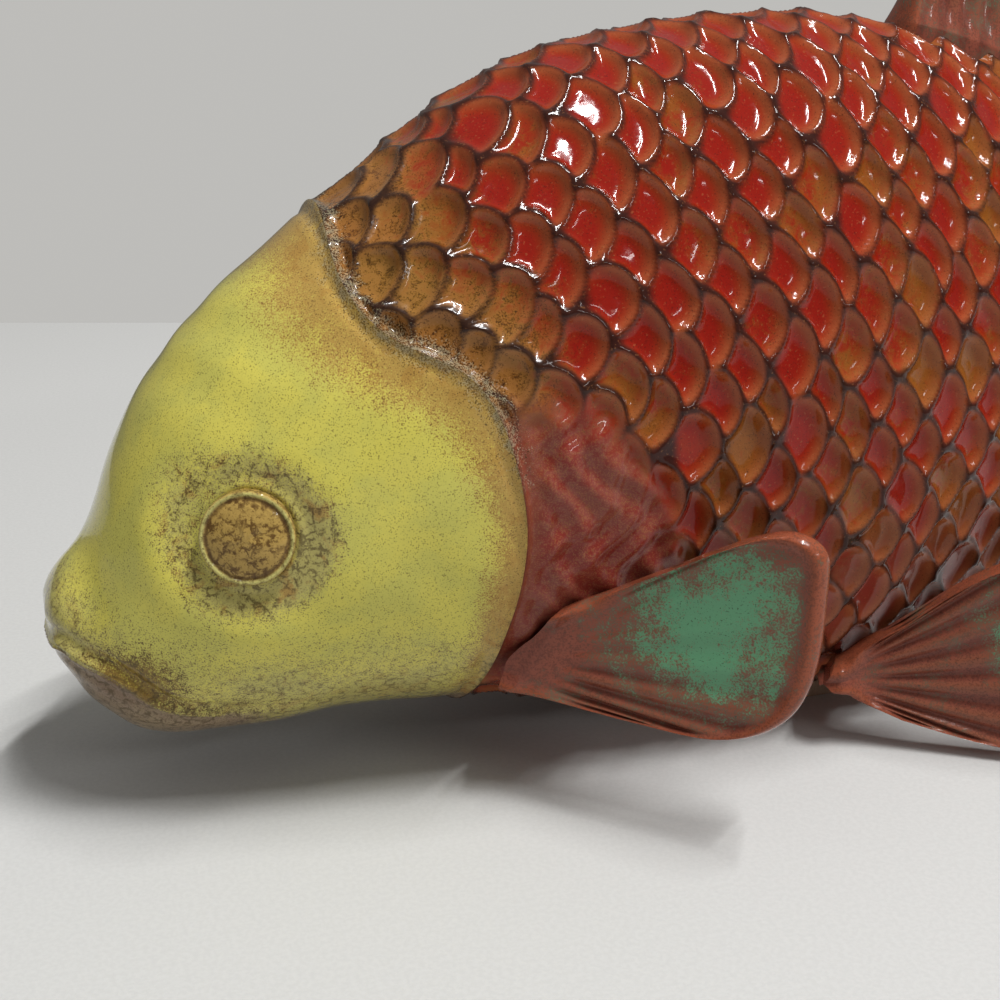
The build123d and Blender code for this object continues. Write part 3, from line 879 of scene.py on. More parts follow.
class Piece:
    """A mesh under work: a grid laid from a plane, whose vertices are then moved onto a form."""

    sharp_angle = math.radians(70.0)
    sliver = 1e-7

    def __init__(self, name: str, rows: int, columns: int) -> None:
        """Adds a flat grid.

        Args:
            name: the piece's name.
            rows: how many faces it has along.
            columns: how many faces it has across.
        """
        deselect()
        bpy.ops.mesh.primitive_grid_add(x_subdivisions=columns, y_subdivisions=rows, size=1.0)
        self.thing = bpy.context.object
        self.thing.name = name
        self.thing.data.name = name
        flat = self.places()
        self.order = np.empty((rows + 1, columns + 1), int)
        row = np.rint((flat[:, 1] + 0.5) * rows).astype(int)
        column = np.rint((flat[:, 0] + 0.5) * columns).astype(int)
        self.order[row, column] = np.arange(len(flat))

    def places(self) -> Array:
        """Where the vertices are."""
        flat = np.empty(3 * len(self.thing.data.vertices))
        self.thing.data.vertices.foreach_get("co", flat)
        return flat.reshape(-1, 3)

    def lay(self, grid: Array) -> None:
        """Moves the vertices to a grid of points, rows first."""
        flat = self.places()
        flat[self.order.ravel()] = grid.reshape(-1, 3)
        self.move(flat)

    def move(self, flat: Array) -> None:
        """Moves every vertex to its new place."""
        self.thing.data.vertices.foreach_set("co", flat.ravel())
        self.thing.data.update()

    def paint(self, maps: Mapping[str, Array]) -> None:
        """Puts maps on the mesh, each a grid of values."""
        for name, grid in maps.items():
            values = np.zeros(len(self.thing.data.vertices))
            values[self.order.ravel()] = np.broadcast_to(grid, self.order.shape).ravel()
            made = self.thing.data.attributes.new(name, "FLOAT", "POINT")
            made.data.foreach_set("value", values)

    def select(self) -> None:
        """Leaves only this piece selected, and active."""
        deselect()
        self.thing.select_set(True)
        bpy.context.view_layer.objects.active = self.thing

    def close(self, capped: bool = False) -> None:
        """Joins what meets, such as the ends of a grid that was wrapped round, and its poles.

        Args:
            capped: whether the open edge, which lies in one plane, gets one flat face.
        """
        self.select()
        bpy.ops.object.mode_set(mode="EDIT")
        bpy.ops.mesh.select_all(action="SELECT")
        bpy.ops.mesh.remove_doubles(threshold=MERGE)
        if capped:
            bpy.ops.mesh.select_mode(type="EDGE")
            bpy.ops.mesh.select_all(action="DESELECT")
            bpy.ops.mesh.select_non_manifold()
            bpy.ops.mesh.edge_face_add()
        else:
            bpy.ops.mesh.dissolve_degenerate(threshold=self.sliver)
        bpy.ops.mesh.select_all(action="SELECT")
        bpy.ops.mesh.normals_make_consistent(inside=False)
        bpy.ops.object.mode_set(mode="OBJECT")

    def mirror(self, axis: int) -> None:
        """Adds the mirrored half across a plane through the origin, and joins the two."""
        self.select()
        made = self.thing.modifiers.new("halves", "MIRROR")
        made.use_axis = [n == axis for n in range(3)]
        made.merge_threshold = MERGE
        bpy.ops.object.modifier_apply(modifier=made.name)
        self.close()

    def hand_over(self, material: Material, nodes: Sequence[str]) -> None:
        """Shades the piece, dresses it and gives it its place in the frame.

        Args:
            material: its glaze.
            nodes: the nodes that it stands for.
        """
        self.select()
        bpy.ops.object.shade_smooth_by_angle(angle=self.sharp_angle)
        self.thing.data.materials.clear()
        self.thing.data.materials.append(material)
        declare(self.thing, nodes)

    def hand_over_pair(self, material: Material, node: str) -> None:
        """Hands over a left piece, and a mirrored copy with its own mesh for the right side.

        Args:
            material: the glaze of both.
            node: the left node that the piece stands for.
        """
        self.hand_over(material, [node])
        name = self.thing.name.replace("left", "right")
        copy = bpy.data.objects.new(name, self.thing.data.copy())
        bpy.context.scene.collection.objects.link(copy)
        copy.data.name = name
        copy.data.transform(Matrix.Scale(-1, 4, (0, 1, 0)))
        copy.data.flip_normals()
        declare(copy, [node.replace("left", "right")])


@dataclass
class Head:
    """The cast head, with its brow mounds, mouth crease and the raised edge of the gill cover."""

    form: CarpForm
    glazes: GlazeMap
    rows: int = 300
    columns: int = 170
    cap_rows: int = 4
    step: float = 0.2 * MM
    mound: float = 2.0 * MM
    mound_reach: float = 10.0 * MM
    socket: float = 0.5 * MM
    socket_ring: tuple[float, float] = (7.6 * MM, 0.9 * MM)
    furrow: float = 0.6 * MM
    furrow_ring: tuple[float, float] = (15.5 * MM, 3.4 * MM)
    furrow_way: tuple[float, float, float] = (-0.75, 0.0, -0.66)
    furrow_fade: float = 12.0 * MM
    groove: float = 0.18 * MM
    ridge: float = 0.15 * MM
    crease: float = 0.9 * MM
    crease_reach: float = 0.7 * MM
    lip: float = 0.45 * MM
    lip_line: tuple[float, float] = (1.9 * MM, 1.1 * MM)
    jaw_drop: float = 0.9 * MM
    waves: float = 0.22 * MM
    snout_reach: float = 3.0 * MM
    flank_turn: float = 0.35
    mouth_samples: int = 60
    mouth: tuple[tuple[float, float], ...] = (
        (3.85, 0.735), (3.35, 0.692), (2.95, 0.648), (2.55, 0.590),
        (1.94, 0.546), (1.33, 0.575), (0.85, 0.640), (0.35, 1.000),
    )

    def mouth_line(self) -> Array:
        """Points along the mouth's crease, on the left side."""
        place = Curve.by_chord(self.mouth).at(np.linspace(0, 1, self.mouth_samples))
        return self.form.section(place[:, 0], np.clip(place[:, 1], 0, 1))

    def under_lip(self, station: Array, turn: Array) -> Array:
        """How much a place belongs to the lower jaw, from 0 to 1."""
        stations, turns = zip(*reversed(self.mouth))
        over = turn - np.interp(station, stations, turns)
        return smooth_step(over, 0.0, 0.03) * smooth_step(station, 5.2, 3.6)

    def relief(self, place: Array, station: Array, turn: Array) -> Array:
        """How far the head stands proud of the smooth form.

        Args:
            place: points on the smooth form.
            station: their stations.
            turn: their turns.

        Returns:
            The distance for each point.
        """
        from_eye = place - np.array(self.glazes.eye)
        far = np.linalg.norm(from_eye, axis=-1)
        proud = self.mound * np.exp(-((far / self.mound_reach) ** 4))
        front = smooth_step(from_eye @ np.array(self.furrow_way), 0.0, self.furrow_fade)
        proud -= self.furrow * hump(far, *self.furrow_ring) * front
        proud -= self.socket * hump(far, *self.socket_ring)
        x, y, z = (place[..., n] / MM for n in range(3))
        swell = np.sin(x * 0.31 + 1.2 * np.sin(z * 0.17))
        proud += self.waves * swell * np.sin(z * 0.27 + y * 0.2 + 0.9 * np.sin(x * 0.19))
        near = np.min([np.linalg.norm(place - p, axis=-1) for p in self.mouth_line()], axis=0)
        proud -= self.crease * hump(near, 0, self.crease_reach)
        proud += self.lip * hump(near, *self.lip_line)
        proud -= self.jaw_drop * self.under_lip(station, turn)
        behind = self.form.behind_gill(place)
        proud += self.step * smooth_step(behind, -30, -3)
        proud -= (self.groove + self.step) * hump(behind, 0, 0.6)
        proud += self.ridge * hump(behind, -1.6, 0.9) * (1 + np.sin(x * 1.1 + z * 0.7))
        return proud

    def even_rows(self, rows: int) -> Array:
        """Shares of the way to the gill line, in stations, for rows that lie evenly apart."""
        shares = np.linspace(0, 1, 400)
        turns = np.full_like(shares, self.flank_turn)
        flank = self.form.section(shares * self.form.gill_station, turns)
        return np.interp(np.linspace(0, 1, rows + 1), run_shares(flank), shares)

    def build(self, material: Material) -> None:
        """Models the left half of the head, mirrors it and dresses the whole."""
        piece = Piece("head_shell", self.rows, self.columns)
        turn = self.form.turn(np.linspace(0, 1, self.columns + 1)[None, :])
        gill = self.form.gill_stations(turn)
        station = self.even_rows(self.rows - self.cap_rows)[:, None] * gill
        turns = np.broadcast_to(turn, station.shape)
        base = self.form.section(station, turns)
        normal = self.form.outward(base)
        normal[0] = normal[1]
        proud = self.relief(base, station, turns)
        proud[0] = 0
        surface = base + normal * proud[..., None]
        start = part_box("head")[0].x + self.snout_reach
        past = np.maximum(start - surface[..., 0], 0) / self.snout_reach
        surface[..., 0] += (past - np.tanh(past)) * self.snout_reach
        surface[0] = surface[0].mean(axis=0)
        surface[0, :, 1] = 0
        surface[:, [0, -1], 1] = 0
        grid = np.concatenate([surface, end_membrane(surface[-1], self.cap_rows)])
        piece.lay(grid)
        maps = self.glazes.maps(grid)
        # Painted shade in the groove along the gill line.
        maps["crevice_shade"] = hump(self.form.behind_gill(grid), 0, 0.55) * 0.75
        jaw = np.pad(self.under_lip(station, turns), ((0, self.cap_rows), (0, 0)), mode="edge")
        maps["mauve"] = np.maximum(maps["mauve"], jaw)
        piece.paint(maps)
        piece.mirror(1)
        piece.hand_over(material, ["head"])


@dataclass
class Trunk:
    """The two pressed halves of the trunk, with their scales."""

    form: CarpForm
    glazes: GlazeMap
    scales: ScaleCourses
    rows: int = 410
    columns: int = 236
    front_crowding: float = 0.35
    cap_rows: int = 3
    groove: float = 0.15 * MM
    lumps: float = 0.8 * MM

    def build(self, material: Material) -> None:
        """Models the left half, dresses it and copies it for the right."""
        piece = Piece("trunk_left_shell", self.rows, self.columns)
        down = np.linspace(0, 1, self.columns + 1)[None, :]
        turn = self.form.turn(down)
        gill = self.form.gill_stations(turn)
        along = np.linspace(0, 1, self.rows - 2 * self.cap_rows + 1)[:, None]
        along = along * (1 - self.front_crowding * (1 - along))
        station = gill + (self.form.last - gill) * along
        turns = np.broadcast_to(turn, station.shape)
        base = self.form.section(station, turns)
        share = (station - self.form.gill_station) / (self.form.last - self.form.gill_station)
        maps = self.scales.relief_maps(share, np.broadcast_to(down, station.shape), turns)
        behind = self.form.behind_gill(base)
        x, z = base[..., 0] / MM, base[..., 2] / MM
        swell = np.sin(x * 0.9 + 1.3 * np.sin(z * 0.35)) * np.sin(z * 0.62 + 0.8 * np.sin(x * 0.4))
        proud = maps.pop("height") * smooth_step(behind, -0.2, 1.2)
        proud += self.lumps * swell * maps["plain"] * smooth_step(behind, 1, 5)
        proud -= self.groove * hump(behind, 0, 0.8)
        surface = base + self.form.outward(base) * proud[..., None]
        surface[:, [0, -1], 1] = 0
        surface[..., 2] = np.maximum(surface[..., 2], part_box("foot_slab")[1].z)
        front, rear = (end_membrane(surface[end], self.cap_rows) for end in (0, -1))
        grid = np.concatenate([front[::-1], surface, rear])
        piece.lay(grid)
        painted = self.glazes.maps(grid)
        for name, values in maps.items():
            painted[name] = np.pad(values, ((self.cap_rows,) * 2, (0, 0)), mode="edge")
        # Painted shade in the groove along the gill line, on the trunk's side.
        edge = hump(self.form.behind_gill(grid), 0, 0.6) * 0.5
        painted["crevice_shade"] = np.maximum(painted["crevice_shade"], edge)
        piece.paint(painted)
        piece.close(capped=True)
        piece.hand_over_pair(material, "trunk_left")


@dataclass
class Eyes:
    """The crowned discs, each inside a groove and a raised ring."""

    place: Vector
    look: Vector
    radius: float = 6.1 * MM
    crown: float = 1.25 * MM
    rim_width: float = 0.9 * MM
    rim_height: float = 0.3 * MM
    groove: float = 0.16 * MM
    groove_reach: float = 0.45 * MM
    line_inset: float = 0.15 * MM
    line_reach: float = 0.5 * MM
    unevenness: float = 0.13 * MM
    depth: float = 3.0 * MM
    front_share: float = 0.8
    side_share: float = 0.9
    rings: int = 72
    spokes: int = 120
    seed: int = 5

    def profile(self, share: Array) -> tuple[Array, Array, Array, Array]:
        """The section of the eye from its middle to its back.

        Args:
            share: shares of the way along the section.

        Returns:
            Radii, heights, and how far each is rim and groove.
        """
        outer = self.radius + self.rim_width
        corners = [self.front_share, self.side_share, 1.0]
        radius = np.interp(share, [0, *corners], [0, outer, outer, 0])
        inside = np.clip(radius / self.radius, 0, 1)
        rim = hump(radius, self.radius + self.rim_width * 0.5, self.rim_width * 0.45)
        height = self.crown * (1 - inside**2) + self.rim_height * rim
        height -= self.groove * hump(radius, self.radius, self.groove_reach)
        back = np.interp(share, corners, [0, -1, -1]) * self.depth
        height = np.where(share > self.front_share, back, height)
        # Painted shade along the groove, just inside the disc's edge.
        crevice_shade = hump(radius, self.radius - self.line_inset, self.line_reach)
        return radius, height, rim, crevice_shade * (share < self.front_share)

    def build(self, material: Material) -> None:
        """Models the left eye, dresses it and copies it for the right."""
        piece = Piece("eye_left_disc", self.rings, self.spokes)
        share = np.linspace(0, 1, self.rings + 1)[:, None]
        angle = np.linspace(0, 2 * math.pi, self.spokes + 1)[None, :]
        radius, height, rim, crevice_shade = self.profile(share)
        rng = np.random.default_rng(self.seed)
        uneven = np.zeros((self.rings + 1, self.spokes + 1))
        for wave in range(2, 9):
            phase, twist = rng.uniform(0, 2 * math.pi), rng.uniform(-3, 3)
            uneven += np.sin(wave * angle + phase + twist * share) / wave
        uneven *= self.unevenness * (share < self.front_share) * smooth_step(share, 0.0, 0.2)
        side = self.look.cross(Vector((0, 0, 1))).normalized()
        up = side.cross(self.look)
        flat = np.cos(angle)[..., None] * np.array(side) + np.sin(angle)[..., None] * np.array(up)
        raised = np.array(self.look) * (height + uneven)[..., None]
        piece.lay(np.array(self.place) + flat * radius[..., None] + raised)
        piece.paint({"rim": rim, "crevice_shade": crevice_shade})
        piece.close()
        piece.hand_over_pair(material, "eye_left")


class FinFace:
    """The flat face of a fin, whose columns run from its root out to its free edge."""

    def __init__(self, roots: Array, tips: Array, out: Array, across: Array) -> None:
        """Lays the face and measures it.

        Args:
            roots: the points of the root, in the fin's plane.
            tips: the points of the free edge.
            out: how far out each row lies, from 0 at the root to 1.
            across: how far across each column lies, from 0 to 1.
        """
        self.reach = np.linalg.norm(tips - roots, axis=1)[None, :]
        self.flat = roots[None] + (tips - roots)[None] * out[..., None]
        wide = np.linalg.norm(np.gradient(self.flat, axis=1), axis=-1)
        run = np.cumsum(wide, axis=1) - wide[:, :1]
        self.edge = np.minimum((1 - out) * self.reach, np.minimum(run, run[:, -1:] - run))
        self.border = (out == 0) | (out == 1) | (across == 0) | (across == 1)


@dataclass
class PairedFin:
    """A left fin like a thick paddle, with rays, a rolled rim and a pool of green glaze."""

    form: CarpForm
    node: str
    root_shares: tuple[float, float, float]
    length: float
    width: float
    rays: int
    spread: float
    rise: float
    lean: float
    seat_shares: tuple[tuple[float, float], ...]
    rim_shares: tuple[tuple[float, float], ...]
    pool_place: tuple[float, float]
    pool_reach: tuple[float, float]
    ray_end: float = 0.35
    thickness: float = 4.4 * MM
    rim_width: float = 3.0 * MM
    ray_height: float = 0.42 * MM
    flare: float = 2.6 * MM
    flare_reach: float = 3.5 * MM
    shade_reach: float = 4.0 * MM
    cup: float = 1.1 * MM
    cup_limits: tuple[float, float] = (-1.0 * MM, 1.2 * MM)
    bury_share: float = 0.10
    rows: int = 130
    columns: int = 190

    def frame(self) -> tuple[Array, Array, Array, Array]:
        """The fin's own place: its root, and the ways along it, across it and out of its face."""
        x_share, y_share, z_share = self.root_shares
        x, z = self.form.side_point(x_share, z_share)
        root = np.array([x, -y_share * self.form.width, z])
        along = Quaternion((0, 1, 0), math.radians(-self.rise)) @ Vector((1, 0, 0))
        along = Quaternion((0, 0, 1), math.radians(-self.spread)) @ along
        up = Quaternion(along, math.radians(self.lean)) @ Vector((0, 0, 1))
        face = along.cross(up).normalized()
        across = face.cross(along).normalized()
        return root, np.array(along), np.array(across), np.array(face)

    def build(self, material: Material) -> None:
        """Models the left fin, dresses it and copies it for the right."""
        piece = Piece(f"{self.node}_paddle", self.rows, self.columns)
        size = np.array([self.length, self.width])
        low, high = np.array(self.seat_shares) * size
        across = (1 - np.cos(np.linspace(0, math.pi, self.columns + 1)))[None, :] / 2
        out = np.linspace(0, 1, self.rows + 1)[:, None]
        out = (np.sin(out * math.pi / 2) + out) / 2
        tips = Curve.by_chord(np.array(self.rim_shares) * size).at(across[0])
        roots = low + (high - low) * across[0][:, None]
        face = FinFace(roots - (tips - roots) * self.bury_share, tips, out, across)
        start = (out - self.bury_share / (1 + self.bury_share)) * face.reach
        inner = smooth_step(face.edge, self.rim_width * 0.6, self.rim_width * 1.5)
        ray = np.cos(2 * math.pi * self.rays * across + 0.5 * np.sin(out * 5.0)) * inner
        rayed = smooth_step(across, self.ray_end + 0.25, self.ray_end - 0.05) * 0.75 + 0.25
        rayed = rayed * smooth_step(start, 2 * MM, 12 * MM)
        bead = hump(face.edge, self.rim_width * 0.5, self.rim_width * 0.55)
        height = self.thickness / 2 * (0.62 + 0.38 * bead) + self.ray_height * ray * rayed
        height += self.flare * fade(start, self.flare_reach)
        height *= round_over(face.edge, self.rim_width * 0.55)
        height = np.where(face.border, 0.0, height)
        piece.lay(np.concatenate([face.flat, height[..., None]], axis=-1))
        pool = (face.flat / size - self.pool_place) / self.pool_reach
        pool = 1 - np.linalg.norm(pool, axis=-1)
        piece.paint(
            {
                "ray": (0.5 + 0.5 * ray) * rayed,
                # The valleys between the rays, plus painted shade near the root, where the fin meets the
                # body.
                "valley_and_root_shade": (0.5 - 0.5 * ray) * rayed + 0.6 * fade(start, self.shade_reach),
                "rim": smooth_step(face.edge, self.rim_width * 1.25, self.rim_width * 0.5),
                "pool": np.clip(0.35 + 0.9 * pool, 0, 1) * inner,
            }
        )
        piece.mirror(2)
        place = piece.places()
        u, v = place[:, 0] / self.length, place[:, 1] / self.width
        place[:, 2] -= np.clip(self.cup * u * (1 - (v * 1.6) ** 2), *self.cup_limits)
        root, *ways = self.frame()
        piece.move(root + place @ np.array(ways))
        piece.hand_over_pair(material, self.node)


@dataclass
class MiddleFin:
    """A fin on the middle plane, which fans out from the trunk with a ray on every rib."""

    name: str
    node: str
    roots: Line
    tips: Line
    root_half: Line
    thickness: float
    rays: int
    edge_share: float = 0.35
    rim_round: float = 1.4 * MM
    ray_height: float = 0.6 * MM
    flare: float = 1.8 * MM
    flare_reach: float = 4.0 * MM
    bury: float = 3.0 * MM
    rows: int = 90
    columns: int = 240

    def build(self, material: Material) -> None:
        """Models the left half of the fin, mirrors it and dresses the whole."""
        piece = Piece(self.name, self.rows, self.columns)
        across = np.linspace(0, 1, self.columns + 1)[None, :]
        out = np.linspace(0, 1, self.rows + 1)[:, None]
        face = FinFace(self.roots(across[0]), self.tips(across[0]), out, across)
        start = out * face.reach - self.bury
        ray = np.cos(2 * math.pi * self.rays * across)
        half = self.thickness / 2
        taper = half * (1 - (1 - self.edge_share) * out)
        root_half = self.root_half(across[0])[None, :]
        height = taper + (root_half - taper) * fade(start, self.flare_reach * 2)
        rayed = smooth_step(start, 0, 8 * MM) * smooth_step(face.edge, 0.0, 3 * MM)
        height += self.ray_height * ray * rayed
        height += self.flare * fade(start, self.flare_reach) * (root_half < half * 1.5)
        height *= round_over(face.edge, self.rim_round)
        height = np.where(face.border, 0.0, np.maximum(height, 0))
        piece.lay(np.stack([face.flat[..., 0], height, face.flat[..., 1]], axis=-1))
        piece.paint(
            {
                "ray": (0.5 + 0.5 * ray) * smooth_step(start, 0, 6 * MM),
                # Only the valleys between the rays; this fin gets no painted shade at its root.
                "valley_and_root_shade": 0.5 - 0.5 * ray,
                "rim": smooth_step(face.edge, 3.0 * MM, 0.8 * MM),
                "pool": 0.25 * hump(out, 0.7, 0.25),
            }
        )
        piece.mirror(1)
        piece.hand_over(material, [self.node])


@dataclass
class Studio:
    """The table, the three lamps, the soft room and the camera."""

    table_edge: float = 0.290
    table_reach: float = 3.0
    table_turn: float = -18.0
    table_thickness: float = 0.04
    table_round: float = 0.004
    eye_point: Vector = field(default_factory=lambda: Vector((-124.21, -233.82, 130.59)) * MM)
    aim_point: Vector = field(default_factory=lambda: Vector((-54.22, -18.4, 48.15)) * MM)
    lens: float = 55.4
    sensor: float = 36.0
    clip: tuple[float, float] = (0.01, 20.0)
    wall: Colour = (0.512, 0.505, 0.487)
    room: Colour = (1.0, 0.985, 0.96)
    room_rise: tuple[float, float] = (-0.1, 0.9)
    room_light: tuple[float, float] = (0.12, 0.30)
    strip_size: tuple[float, float] = (0.60, 0.045)
    strips: tuple[tuple[tuple[float, float, float], float], ...] = (
        ((0.34, -0.48, 1.36), 11.5), ((0.34, -0.24, 1.38), 11.5), ((0.70, -1.20, 0.80), 2.5),
    )
    strip_aim: tuple[float, float, float] = (0.0, -0.03, 0.06)

    def table(self, material: Material) -> None:
        """Lays the table, whose rear edge is the line behind the fish."""
        deselect()
        bpy.ops.mesh.primitive_cube_add(size=1.0, location=(0, 0, 0))
        top = bpy.context.object
        top.name = "table_top"
        for vertex in top.data.vertices:
            far = self.table_edge if vertex.co.y > 0 else -self.table_reach
            high = 0.0 if vertex.co.z > 0 else -self.table_thickness
            vertex.co = Vector((math.copysign(self.table_reach, vertex.co.x), far, high))
        top.data.transform(Matrix.Rotation(math.radians(self.table_turn), 4, "Z"))
        edge = top.modifiers.new("edge", "BEVEL")
        edge.width = self.table_round
        edge.segments = 4
        bpy.ops.object.modifier_apply(modifier=edge.name)
        top.data.materials.append(material)

    @staticmethod
    def stand(data: bpy.types.ID, place: Vector, aim: Vector) -> Thing:
        """Puts a lamp or the camera at a place, turned to look at another."""
        thing = bpy.data.objects.new(data.name, data)
        thing.location = place
        thing.rotation_euler = (aim - place).to_track_quat("-Z", "Y").to_euler()
        bpy.context.scene.collection.objects.link(thing)
        return thing

    def lights(self) -> None:
        """Hangs two strips of lamps in front of the fish, and a faint one lower down."""
        for number, (place, watts) in enumerate(self.strips, start=1):
            lamp = bpy.data.lights.new(f"ceiling_strip_{number}", "AREA")
            lamp.shape = "RECTANGLE"
            lamp.size, lamp.size_y = self.strip_size
            lamp.energy = watts
            self.stand(lamp, Vector(place), Vector(self.strip_aim))

    def air(self) -> None:
        """Fills the room with soft light, brighter above, while the camera sees a plain wall."""
        world = bpy.data.worlds.new("room")
        bpy.context.scene.world = world
        r = Recipe(world)
        way = r.node("ShaderNodeTexCoord", {}, {}, "Generated")
        ramp = {"Value": r.node("ShaderNodeSeparateXYZ", {}, {0: way}, "Z")}
        ramp |= zip(("From Min", "From Max"), self.room_rise)
        ramp |= zip(("To Min", "To Max"), self.room_light)
        glow = {"Color": self.room, "Strength": r.node("ShaderNodeMapRange", {}, ramp)}
        soft = r.node("ShaderNodeBackground", {}, glow)
        seen = r.node("ShaderNodeBackground", {}, {"Color": self.wall})
        by_camera = r.node("ShaderNodeLightPath", {}, {}, "Is Camera Ray")
        shown = r.node("ShaderNodeMixShader", {}, {0: by_camera, 1: soft, 2: seen})
        r.node("ShaderNodeOutputWorld", {}, {"Surface": shown})

    def camera(self) -> None:
        """Stands the camera where the photograph was taken from."""
        data = bpy.data.cameras.new("camera")
        data.lens, data.sensor_width = self.lens, self.sensor
        data.clip_start, data.clip_end = self.clip
        bpy.context.scene.camera = self.stand(data, self.eye_point, self.aim_point)

    def build(self) -> None:
        """Sets the whole studio."""
        self.table(TablePaint().material())
        self.lights()
        self.air()
        self.camera()
        bpy.context.scene.view_settings.view_transform = "Standard"


@dataclass
class Crest:
    """The lines of a fin that stands on the back or hangs under the belly.

    Its column is the turn of the line that it stands on, 0 for the back and 1 for the belly; its
    span is where it starts and ends, as shares of the trunk; its heights are shares of its rise,
    which is below zero where it hangs; its sweep is how far it leans to the rear, and bury is how
    deep its root lies under the skin.
    """

    form: CarpForm
    column: float
    span: tuple[float, float]
    heights: tuple[float, ...]
    rise: float
    sweep: float
    bury: float = 3.5 * MM
    samples: int = 400

    def __post_init__(self) -> None:
        """Works out the line that the fin stands on, and the fin's edge."""
        first, last = self.form.gill_station, self.form.last
        stations = first + (last - first) * np.linspace(0, 1, self.samples)
        turns = np.full_like(stations, self.column)
        self.line = self.form.section(stations, turns)[:, [0, 2]]
        self.run = run_shares(self.line)
        steps = self.on_line(np.linspace(*self.span, len(self.heights)))
        self.edge = Curve.by_chord(steps + np.outer(self.heights, [self.sweep, self.rise])).at

    def on_line(self, share: Array) -> Array:
        """Points of the line that the fin stands on, as x and z."""
        return np.stack([np.interp(share, self.run, self.line[:, n]) for n in range(2)], axis=-1)

    def roots(self, share: Array) -> Array:
        """Points of the fin's root, as x and z."""
        start, end = self.span
        sunk = [0.0, -math.copysign(self.bury, self.rise)]
        return self.on_line(start + (end - start) * share) + sunk


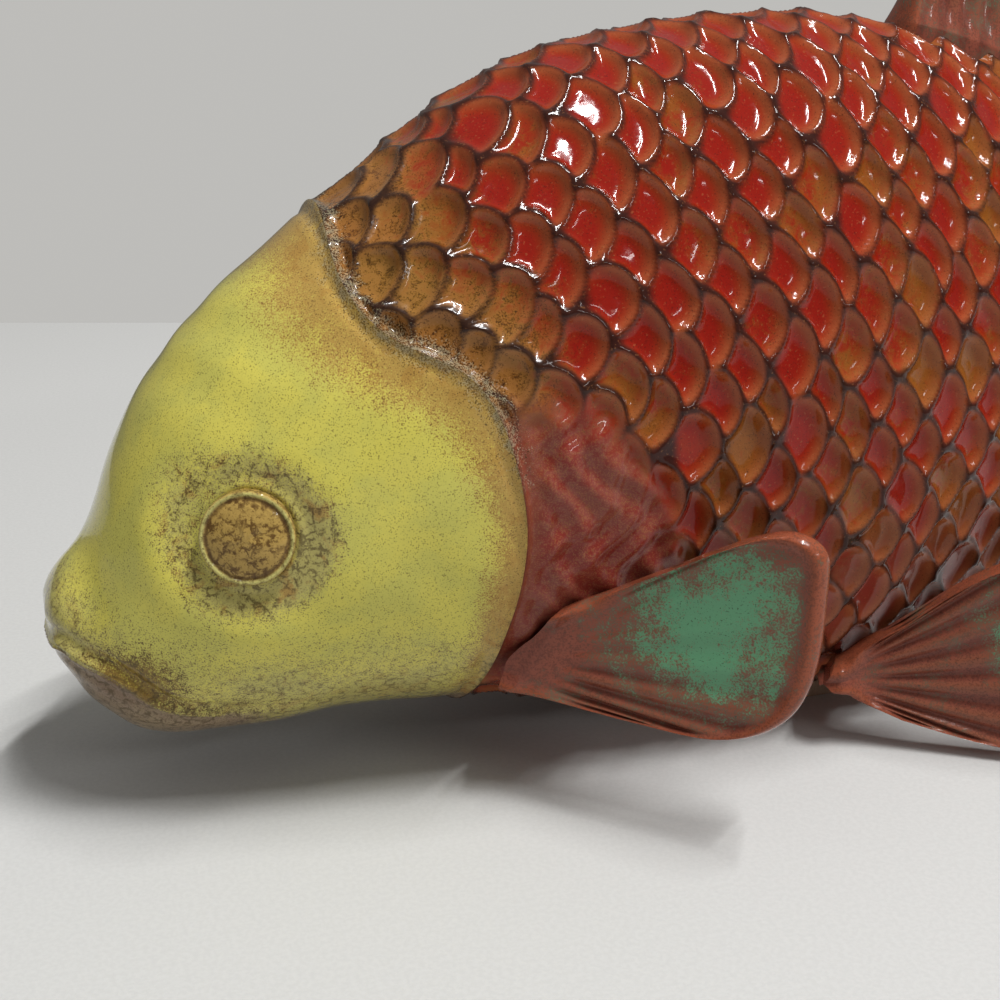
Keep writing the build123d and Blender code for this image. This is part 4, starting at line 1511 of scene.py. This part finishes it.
@dataclass
class Carp:
    """The whole figurine."""

    form: CarpForm = field(default_factory=CarpForm)
    eye_yaw: float = 17.0
    eye_pitch: float = 8.0
    eye_depth: float = 3.0 * MM
    eye_seat: float = 0.2 * MM
    tail_seat_share: float = 0.88
    tail_bury: float = 3.0 * MM
    tail_cover: float = 0.6 * MM
    tail_shares: tuple[tuple[float, float], ...] = (
        (0.880, 0.290), (0.945, 0.215), (0.988, 0.225), (0.975, 0.390), (0.953, 0.570),
        (0.977, 0.770), (0.997, 0.953), (0.955, 0.948), (0.885, 0.845),
    )

    def eye(self) -> tuple[Vector, Vector]:
        """Where the left eye sits on the head, and the way that it looks."""
        look = Quaternion((0, 0, 1), math.radians(-self.eye_yaw)) @ Vector((0, -1, 0))
        look = Quaternion((1, 0, 0), math.radians(-self.eye_pitch)) @ look
        look.normalize()
        low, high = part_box("eye_left")
        return (low + high) / 2 + look * (self.eye_depth / 2 - self.eye_seat), look

    def build(self) -> None:
        """Builds every piece in order, from the head to the tail."""
        front, look = self.eye()
        glazes = GlazeMap(self.form, front)
        Head(self.form, glazes).build(HeadGlaze().material())
        Trunk(self.form, glazes, ScaleCourses()).build(ScaleGlaze().material())
        Eyes(front, look).build(EyeFinish().material())
        self.paired_fins()
        self.middle_fins()
        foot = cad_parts["foot_slab"]
        foot.data.materials.clear()
        foot.data.materials.append(BareClay().material())
        log.info("foot_slab keeps its solid")

    def paired_fins(self) -> None:
        """The pectoral and pelvic fins."""
        pectoral = PairedFin(
            form=self.form,
            node="pectoral_fin_left",
            root_shares=(0.2467, 0.375, 0.2066),
            length=51.0 * MM,
            width=31.0 * MM,
            rays=9,
            spread=42.0,
            rise=12.7,
            lean=-5.6,
            seat_shares=((-0.08, -0.18), (0.16, 0.265)),
            rim_shares=(
                (0.25, -0.325), (0.41, -0.400), (0.600, -0.455), (0.770, -0.360), (0.880, -0.060),
                (0.935, 0.300), (0.940, 0.440), (0.890, 0.525), (0.74, 0.530), (0.48, 0.400),
            ),
            pool_place=(0.62, 0.10),
            pool_reach=(0.36, 0.50),
        )
        pelvic = PairedFin(
            form=self.form,
            node="pelvic_fin_left",
            root_shares=(0.430, 0.347, 0.1157),
            length=44.0 * MM,
            width=33.0 * MM,
            rays=10,
            spread=32.0,
            rise=7.2,
            lean=-1.5,
            seat_shares=((0.03, -0.145), (0.025, 0.05)),
            rim_shares=(
                (0.24, -0.295), (0.52, -0.425), (0.77, -0.455), (0.955, -0.180), (1.00, 0.180),
                (0.91, 0.515), (0.77, 0.560), (0.51, 0.440), (0.265, 0.210),
            ),
            pool_place=(0.80, 0.20),
            pool_reach=(0.22, 0.40),
            ray_end=1.2,
        )
        pectoral.build(FinGlaze("pectoral_glaze").material())
        pelvic.build(FinGlaze("pelvic_glaze").material())

    def middle_fins(self) -> None:
        """The dorsal, anal and tail fins."""
        glaze = FinGlaze("middle_fin_glaze_red").material()
        heights = (0.30, 0.88, 1.00, 0.90, 0.77, 0.67, 0.60, 0.54, 0.46)
        back = Crest(self.form, 0, (0.52, 0.90), heights, 24.9 * MM, 15.0 * MM)
        heights = (0.45, 0.95, 1.00, 0.80, 0.50)
        belly = Crest(self.form, 1, (0.70, 0.86), heights, -21.0 * MM, 13.0 * MM)

        def even_root(share: Array) -> Array:
            """The half thickness of a root that is the same all along."""
            return np.full(np.shape(share), 3.0 * MM)

        for name, crest, thickness, rays in (
            ("dorsal_fin", back, 6.0 * MM, 18),
            ("anal_fin", belly, 5.0 * MM, 9),
        ):
            roots, tips = crest.roots, crest.edge
            MiddleFin(f"{name}_blade", name, roots, tips, even_root, thickness, rays).build(glaze)
        self.tail(glaze)

    def tail(self, glaze: Material) -> None:
        """The tail fin, whose root covers the end of the trunk."""
        edge = Curve.by_chord([self.form.side_point(x, z) for x, z in self.tail_shares])

        def end(share: Array) -> Array:
            """The trunk's last section, where the fin's root lies."""
            turn = 0.5 - self.tail_seat_share * (share - 0.5)
            return self.form.section(np.full_like(turn, float(self.form.last)), turn)

        MiddleFin(
            name="tail_fin_fan",
            node="tail_fin",
            roots=lambda share: end(share)[..., [0, 2]] - [self.tail_bury, 0.0],
            tips=edge.at,
            root_half=lambda share: self.tail_cover - end(share)[..., 1],
            thickness=6.0 * MM,
            rays=20,
        ).build(glaze)


def main() -> None:
    """Builds the figurine and its studio."""
    logging.basicConfig(level=logging.INFO, format="%(name)s: %(message)s")
    Carp().build()
    Studio().build()


if __name__ == "__main__":
    main()
